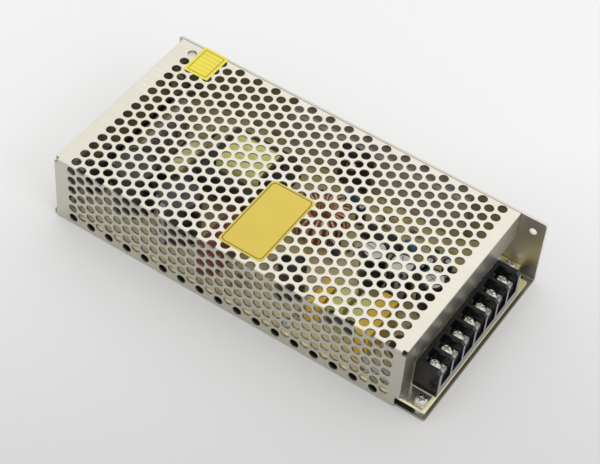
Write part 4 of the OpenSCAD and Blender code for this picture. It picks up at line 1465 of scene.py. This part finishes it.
    def punched(self, t: Shaping) -> Signal:
        """The cells on the flat blank, in columns that start half a row apart by turns.

        Args:
            t: The tree.
        Returns:
            The cells, with more rings of faces where the long fold is.
        """
        count = t.add("GeometryNodeMeshLine", None, {"Count": self.columns * self.rows})
        i = (t.index / self.rows).maths("FLOOR")
        j = t.index % float(self.rows)
        shift = (1 - i % 2.0) * 0.5
        s = (j + shift) * (self.row * MM) + self.first * MM
        x = i * (self.column * MM) + (self.start + self.column / 2) * MM
        points = t.moved(count, t.joined(x, self.far * MM - s, self.high.z * MM))
        fold = (self.far - self.fold - self.arc / 2) * MM
        near = abs(t.axes(t.place)[1] - fold) < (self.row + self.arc) / 2 * MM
        kinds = ((1, 1 - near), (3, near))
        copies = [t.copied(self.cell(t, rings), points, Selection=where) for rings, where in kinds]
        return t.realised(t.together(*copies))

    def folded(self, t: Shaping) -> Signal:
        """Where a point of the flat blank lies when it is folded.

        Args:
            t: The tree.
        Returns:
            The place.
        """
        x, y, z = t.axes(t.place)
        s = t.clamped(self.far * MM - y, (self.far - self.high.y) * MM, 1.0)
        fine, plain = self.crease * MM, (self.bend - self.crease) * MM
        start, end = self.fold * MM, self.fold_end * MM
        lines = CrossLine.CREASE_START, CrossLine.CREASE_END
        before, after = (self.line(n) * MM for n in lines)
        turn = t.clamped((s - before) / (after - before), 0.0, 1.0) * (math.pi / 2)
        flat = t.ranged(s, start, before, 0.0, plain)
        hung = t.ranged(s, after, end, 0.0, plain)
        across = self.far * MM - s.maths("MINIMUM", start) - flat - turn.maths("SINE") * fine
        below = (s - end).maths("MAXIMUM", 0.0)
        level = turn.maths("COSINE") * fine + (self.high.z * MM - fine) - hung - below
        return t.joined(x, across, level)

    def tree(self, values: dict[str, float | int]) -> Shaping:
        """The tree that punches the holes and folds the blank.

        Args:
            values: Its inputs.
        Returns:
            The tree.
        """
        t = Shaping("punch_and_fold", values)
        whole = t.together(t.host, self.punched(t))
        folded = t.moved(whole, self.folded(t), t.mark("in_place") < 0.5)
        # The cover's finish paints shade on its mesh side and on the lip that faces the terminals.
        t.closed(t.merged(folded, 0.02 * MM), (BrightSheet(sides=0.46, ends=0.5), True))
        return t


@dataclass
class Cans:
    """Can capacitors: a shrunk sleeve turned over a scored aluminium end.

    The rings of foot, top and lid are in millimetres outwards from the can's radius and up from
    its foot or its top.
    """

    node: str
    sleeve: Sleeve
    turn: float = 0.0
    end: Finish = CanTop()
    sides: int = 32
    apart: float = 2.2
    foot: Rings = (
        (-0.4, 0.0), (-0.12, 0.25), (0.0, 0.8), (0.0, 1.6), (-0.4, 2.2), (-0.4, 2.9), (0.0, 3.5)
    )
    top: Rings = (
        (0.0, -1.0), (-0.12, -0.5), (-0.45, -0.12), (-0.85, 0.0), (-1.15, -0.12), (-1.25, -0.6)
    )
    lid: Rings = ((-1.3, -0.9), (-1.3, -0.3), (-1.6, -0.22))

    def build(self) -> None:
        """Stand the cans where the node's solids are."""
        boxes = solids(self.node)
        low, high = boxes[0]
        points = bpy.data.meshes.new(self.node + "_places")
        points.from_pydata([((a.x + b.x) / 2, (a.y + b.y) / 2, a.z) for a, b in boxes], [], [])
        radius, height = (high.x - low.x) / 2, high.z - low.z
        values = {"Radius": radius, "Height": height, "Turn": self.turn}
        cans = self.tree(values).shaped(self.node + "_cans", values, points)
        fitted(settled(cans, 32.0), "case", self.node, self.node)

    def tree(self, values: dict[str, float | int]) -> Shaping:
        """The tree that turns one can and stands copies of it.

        Args:
            values: Its inputs.
        Returns:
            The tree.
        """
        t = Shaping("can_capacitors", values)
        r, h = t.given["Radius"], t.given["Height"]
        foot = [(r + out * MM, up * MM) for out, up in self.foot]
        top = [(r + out * MM, h + up * MM) for out, up in self.top]
        lid = [(r + out * MM, h + up * MM) for out, up in self.lid]
        end = t.marked(t.turned(lid, self.sides), "metal", 1.0)
        can = t.together(t.turned(foot + top, self.sides), end)
        x, y, z = t.axes(t.place)
        can = t.marked(can, "spot", t.joined(x / r, y / r, z), "FLOAT_VECTOR")
        turn = t.joined(0.0, 0.0, t.index * self.apart + t.given["Turn"])
        stood = t.copied(can, t.host, Rotation=turn)
        t.closed(stood, (self.sleeve, True), (self.end, t.mark("metal") > 0.5))
        return t


@dataclass
class RingCoil:
    """The output choke: enamelled wire wound turn by turn round a painted ring.

    A turn with a fullness of 1 is an ellipse, and a lower one fills its section's corners. The gap
    is the room each wire takes, as a share of its own radius.
    """

    turns: int = 25
    steps: int = 20
    sides: int = 7
    wire: float = 0.6 * MM
    section: float = 8.5 * MM
    wound: float = math.radians(338)
    fullness: float = 0.62
    gap: float = 1.02

    def build(self) -> None:
        """Wind the ring and dress its core."""
        dressed("ring_core", Epoxy("ring_paint", (0.20, 0.09, 0.04), (0.10, 0.045, 0.02)))
        low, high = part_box("ring_winding")
        sizes = {"Outer": (high.y - low.y) / 2, "Section": self.section, "Height": high.z - low.z}
        values = {"Turns": self.turns, "Wire": self.wire, **sizes}
        coil = self.tree(values, (low + high) / 2).shaped("ring_coil", values)
        fitted(settled(coil, 60.0), "case", "ring_winding", "ring_winding")

    def tree(self, values: dict[str, float | int], centre: Vector) -> Shaping:
        """The tree that winds the coil.

        Args:
            values: Its inputs.
            centre: The ring's middle.
        Returns:
            The tree.
        """
        t = Shaping("ring_coil", values)
        wire, section = t.given["Wire"], t.given["Section"]
        count = t.given["Turns"] * self.steps
        line = t.add("GeometryNodeMeshLine", None, {"Count": count + 1})
        local = t.index * (2 * math.pi / self.steps)
        around = t.index / count * self.wound - self.wound / 2
        half, tall = (side / 2 - wire * self.gap for side in (section, t.given["Height"]))
        cosine, sine = local.maths("COSINE"), local.maths("SINE")
        across = cosine.maths("SIGN") * (abs(cosine) ** self.fullness) * half
        level = sine.maths("SIGN") * (abs(sine) ** self.fullness) * tall
        radius = t.given["Outer"] - section / 2 + across
        x, y = (around.maths(way) * radius for way in ("COSINE", "SINE"))
        place = t.joined(x + centre.x, y + centre.y, level + centre.z)
        curve = t.add("GeometryNodeMeshToCurve", None, {"Mesh": t.moved(line, place)})
        circle = {"Resolution": self.sides, "Radius": wire}
        profile = t.add("GeometryNodeCurvePrimitiveCircle", {"mode": "RADIUS"}, circle)
        swept = {"Curve": curve, "Profile Curve": profile, "Fill Caps": True}
        t.closed(t.add("GeometryNodeCurveToMesh", None, swept), (Enamel(), True))
        return t


@dataclass
class Enclosure:
    """The folded chassis and cover, with their standoffs and screws."""

    # The chassis's finish paints shade on the far wall's inner face and along its low edge.
    sheet: BrightSheet = BrightSheet(
        "chassis_sheet", (0.78, 0.74, 0.685), (0.62, 0.575, 0.51), 0.38,
        wave=0.04, sides=0.4, reach=0.084, foot=0.85,
    )

    def build(self) -> None:
        """Dress the sheets and round their edges."""
        MeshCover().build()
        replaced("chassis", self.sheet, Soft(0.08 * MM))
        for node in ("standoffs", "board_screws", "cover_screws"):
            replaced(node, Plated("screw_plating"))
        dressed("insulating_sheet", Moulding("insulator", (0.02, 0.022, 0.024), rough=0.35))


@dataclass
class TerminalRow:
    """The block of screw terminals with its contacts, clamps and screws.

    The front of the block, as deep as face, is clear coated and given a painted reflection.
    """

    count: int = 7
    face: float = 3.1 * MM
    screw: Plated = Plated("terminal_plating")
    clamp: Plated = Plated("clamp_plating", (0.92, 0.91, 0.87), 0.42)

    def build(self) -> None:
        """Dress the block and its metal."""
        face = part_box("terminal_block")[1].x - self.face
        # front paints a pale reflection on the block's front faces.
        plastic = Moulding("block_plastic", rough=0.2, dust=0.1, shine=0.22, front=0.8, face=face)
        replaced("terminal_block", plastic, Soft(0.22 * MM))
        dressed("terminal_contacts", Plated("contact_tin", (0.26, 0.25, 0.23), 0.4))
        for k in range(1, self.count + 1):
            screw, clamp = f"terminal_screw_{k}", f"clamp_washer_{k}"
            piece = refined(screw, self.screw, Soft(0.1 * MM))
            fitted(piece, f"screw_{k}", "terminal_screw", screw)
            fitted(refined(clamp, self.clamp), f"clamp_{k}", "clamp_washer", clamp)


@dataclass
class Board:
    """The printed board with what is soldered to it."""

    outlined: tuple[str, ...] = (
        "transformer_core", "driver_core", "filter_core", "control_chip", "film_capacitor",
        "terminal_block", "suppression_capacitor_1", "suppression_capacitor_2", "fuse",
        "bridge_rectifier", "trimmer_body",
    )
    leaded: tuple[str, ...] = ("resistors", "diodes")

    def build(self) -> None:
        """Dress the board and its parts."""
        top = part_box("circuit_board")[1].z
        dressed("circuit_board", Laminate(outlines=self.outlines(), top=top))
        for node, finish in self.finishes().items():
            dressed(node, finish)
        for node, finish, soft in self.softened():
            replaced(node, finish, soft)
        for cans in self.cans():
            cans.build()
        RingCoil().build()
        for node, finish in zip(self.leaded, self.banded()):
            piece = measured(refined(node, finish, Soft(0.06 * MM)), solids(node))
            fitted(piece, "case", node, node)

    def outlines(self) -> tuple[tuple[float, ...], ...]:
        """The middles and half sizes of the parts with an outline printed round them.

        Returns:
            X, Y, half length and half width of each.
        """
        boxes = [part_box(node) for node in self.outlined]
        for node in self.leaded:
            boxes += solids(node)
        return tuple((*((low + high) / 2).xy, *((high - low) / 2).xy) for low, high in boxes)

    def softened(self) -> list[tuple[str, Finish, Soft]]:
        """The parts whose edges are rounded.

        Returns:
            Each node with its finish and its edges.
        """
        body = Moulding("package_epoxy", (0.014, 0.014, 0.015), (0.04, 0.04, 0.04), 0.42)
        box = Epoxy("yellow_box", (0.90, 0.62, 0.05), (0.78, 0.50, 0.03), 0.3)
        film = Epoxy("red_film", (0.24, 0.035, 0.028), (0.14, 0.02, 0.018), 0.34)
        tape = Tape("transformer_tape", centre=middle("transformer_winding"))
        driver = replace(
            tape, name="driver_tape", colour=(0.72, 0.74, 0.36),
            centre=middle("driver_winding"), turn=(0, 0, 90), pitch=3.5 * MM,
        )
        coils = replace(
            driver, name="filter_tape", colour=(0.76, 0.80, 0.32),
            centre=middle("filter_coils"), pitch=3.0 * MM,
        )
        small, wide = Soft(0.3 * MM), Soft(0.8 * MM, 3)
        return [
            ("transformer_core", Ferrite(), small),
            ("transformer_winding", tape, wide),
            ("driver_core", Ferrite(), small),
            ("driver_winding", driver, wide),
            ("filter_core", Ferrite(), small),
            ("filter_coils", coils, wide),
            ("output_rectifier", body, small),
            ("switching_transistors", body, small),
            ("bridge_rectifier", body, small),
            ("suppression_capacitor_1", box, wide),
            ("suppression_capacitor_2", box, wide),
            ("film_capacitor", film, Soft(1.0 * MM, 3)),
        ]

    def cans(self) -> list[Cans]:
        """The can capacitors.

        Returns:
            A set of cans for each node.
        """
        bulk = Sleeve("bulk_sleeve", (0.016, 0.018, 0.022), (0.40, 0.42, 0.44))
        output = Sleeve("output_sleeve", (0.018, 0.02, 0.03), (0.42, 0.46, 0.52))
        little = Sleeve("small_sleeve", (0.02, 0.035, 0.11), (0.5, 0.55, 0.62))
        grey = Moulding("grey_disc", (0.10, 0.10, 0.105), (0.16, 0.16, 0.165), 0.4)
        dark = Moulding("dark_disc", (0.02, 0.02, 0.022), rough=0.35)
        return [
            Cans("bulk_capacitor_1", bulk, 3.4, grey),
            Cans("bulk_capacitor_2", bulk, 4.3, grey),
            Cans("auxiliary_capacitor", bulk, 2.2, dark),
            Cans("output_capacitors", output, 3.0),
            Cans("small_capacitors", little, 1.0),
        ]

    def banded(self) -> tuple[Banded, Banded]:
        """The finishes of the resistors and the diodes.

        Returns:
            One finish for each.
        """
        red, black = (0.45, 0.03, 0.02), (0.01, 0.01, 0.01)
        gold, brown = (0.55, 0.36, 0.06), (0.16, 0.06, 0.02)
        bands = ((0.30, brown), (0.42, black), (0.54, red), (0.70, gold))
        return (
            Banded("resistor_paint", (0.55, 0.43, 0.27), bands),
            Banded("diode_epoxy", (0.018, 0.018, 0.02), ((0.72, (0.7, 0.7, 0.68)),)),
        )

    def finishes(self) -> dict[str, Finish]:
        """The finish of each part on the board that keeps its shape.

        Returns:
            Finishes by node.
        """
        bobbin = Moulding("bobbin_resin", (0.05, 0.03, 0.018), (0.11, 0.08, 0.05), 0.4)
        return {
            "transformer_bobbin": bobbin,
            "heatsink_bar": Oxidised("bar_aluminium"),
            "thermal_pad": Moulding("pad_rubber", (0.25, 0.27, 0.28), (0.35, 0.36, 0.37), 0.7),
            "rectifier_clamp": Plated("screw_plating"),
            "primary_heatsink": Oxidised("fin_aluminium", (0.42, 0.41, 0.39), lay=Lay.UPRIGHT),
            "disc_capacitors": Epoxy("blue_dip"),
            "thermistor": Epoxy("green_dip", (0.035, 0.06, 0.045), (0.02, 0.03, 0.025), 0.4),
            "fuse": Glassy("fuse_glass", (0.8, 0.83, 0.82)),
            "fuse_clips": Plated("clip_brass", (0.75, 0.68, 0.5), 0.3),
            "control_chip": Moulding("chip_epoxy", (0.02, 0.02, 0.022), (0.06, 0.06, 0.06), 0.5),
            "trimmer_body": Moulding("trimmer_plastic", (0.03, 0.14, 0.42), (0.05, 0.2, 0.5), 0.35),
            "trimmer_rotor": Moulding("rotor_plastic", (0.8, 0.78, 0.7), (0.6, 0.58, 0.5), 0.4),
            "power_led": Glassy(),
        }


@dataclass
class Labels:
    """The large label on the top and the seal label over its far edge."""

    large: Sticker = Sticker("large_sticker")
    seal: Sticker = Sticker(
        "seal_sticker", (0.84, 0.70, 0.045), ruled=6,
        corner=0.2 * MM, inset=1.6 * MM, width=0.16 * MM,
    )

    def build(self) -> None:
        """Lay each label's finish out on its own size."""
        for node, sticker in (("large_label", self.large), ("seal_label", self.seal)):
            low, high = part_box(node)
            size = (high.x - low.x, high.y - low.y)
            dressed(node, replace(sticker, centre=middle(node), size=size))


# ---------------------------------------------------------------- studio


@dataclass(frozen=True)
class Panel:
    """One soft light panel."""

    name: str
    place: Point
    aim: Point
    size: tuple[float, float]
    power: float

    def hang(self) -> None:
        """Hang the panel, facing what it aims at."""
        lamp = bpy.data.lights.new(self.name, "AREA")
        lamp.shape = "RECTANGLE"
        lamp.size, lamp.size_y = self.size
        lamp.energy = self.power
        hung = linked(self.name, lamp)
        hung.location = self.place
        towards = Vector(self.aim) - Vector(self.place)
        hung.rotation_euler = towards.to_track_quat("-Z", "Y").to_euler()


@dataclass(frozen=True)
class FloorPaper(Finish):
    """Pale paper under the case with a faint cloudiness, painted paler far from the camera as
    painted light.

    Away is the way from near to far, along X and Y.
    """

    name: str = "floor_paper"
    near: Colour = (0.66, 0.66, 0.66)
    far: Colour = (0.90, 0.90, 0.90)
    cloudy: Colour = (0.76, 0.76, 0.75)
    away: tuple[float, float] = (-0.62, 0.87)

    def painted(self, p: Paint) -> dict[str, Value]:
        """Paint the paper.

        Args:
            p: The material's nodes.
        Returns:
            The shader's sockets.
        """
        cloud = p.patches(3, 2, 0.3, 0.7)
        x, y, z = p.axes(p.place)
        # Painted light: the paper goes from the near colour to the far colour, paler away from the
        # camera.
        away = p.ranged(x * self.away[0] + y * self.away[1], -0.15, 0.07)
        colour = p.mix(away, self.near, self.far)
        colour = p.mix(cloud * 0.03, colour, self.cloudy)
        return dict(Base_Color=colour, Roughness=0.65 + cloud * 0.1, Specular_IOR_Level=0.2)


@dataclass
class Studio:
    """The pale floor, the soft light and the camera."""

    eye: Point = (0.27620, -0.47490, 0.63854)
    forward: Point = (-0.328025, 0.570449, -0.752986)
    roll: float = math.radians(5.23)
    lens: float = 110.91
    sensor: float = 36.0
    clip: tuple[float, float] = (0.01, 20.0)
    floor: float = 3.0
    floor_gap: float = 0.05 * MM
    sky: float = 0.91
    panels: tuple[Panel, ...] = (
        Panel("key_panel", (-0.25, 0.95, 1.15), (0, 0.1, 0), (1.0, 0.8), 0.4),
        Panel("top_panel", (0.15, 0.1, 1.4), (0, 0, 0), (0.8, 0.8), 1.0),
        Panel("fill_panel", (1.1, -0.3, 0.8), (0, 0, 0), (0.7, 0.7), 2.0),
    )

    def build(self) -> None:
        """Set the floor, the lights, the colour handling and the camera."""
        bpy.context.scene.view_settings.view_transform = "Standard"
        self.lay_floor()
        self.light()
        self.place_camera()

    def lay_floor(self) -> None:
        """Lay a pale floor, painted paler far from the camera, a hair under the case."""
        work = bmesh.new()
        bmesh.ops.create_grid(work, x_segments=8, y_segments=8, size=self.floor)
        mesh = meshed("floor", work)
        mesh.transform(Matrix.Translation((0, 0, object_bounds()[0][2] - self.floor_gap)))
        coated(mesh, FloorPaper())
        linked("floor", mesh)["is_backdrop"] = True

    def light(self) -> None:
        """Hang the panels in a pale room."""
        world = bpy.data.worlds.new("room")
        bpy.context.scene.world = world
        world.use_nodes = True
        world.node_tree.nodes.clear()
        room = Graph(world.node_tree)
        glow = room.add("ShaderNodeBackground", None, {"Color": (1, 1, 1), "Strength": self.sky})
        room.add("ShaderNodeOutputWorld", None, {"Surface": glow})
        for panel in self.panels:
            panel.hang()

    def place_camera(self) -> None:
        """Place the camera and make it the scene's own."""
        data = bpy.data.cameras.new("camera")
        data.lens = self.lens
        data.sensor_width = self.sensor
        data.clip_start, data.clip_end = self.clip
        camera = linked("camera", data)
        camera.rotation_mode = "QUATERNION"
        roll = Matrix.Rotation(self.roll, 4, "Z").to_quaternion()
        camera.rotation_quaternion = Vector(self.forward).to_track_quat("-Z", "Y") @ roll
        camera.location = self.eye
        bpy.context.scene.camera = camera


def main() -> None:
    """Build the supply's looks, piece by piece, and stand it in the studio."""
    logging.basicConfig(level=logging.INFO, format="%(name)s: %(message)s")
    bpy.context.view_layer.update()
    for assembly in (Studio(), Enclosure(), TerminalRow(), Board(), Labels()):
        assembly.build()
        log.info("%s is ready", type(assembly).__name__)


if __name__ == "__main__":
    main()
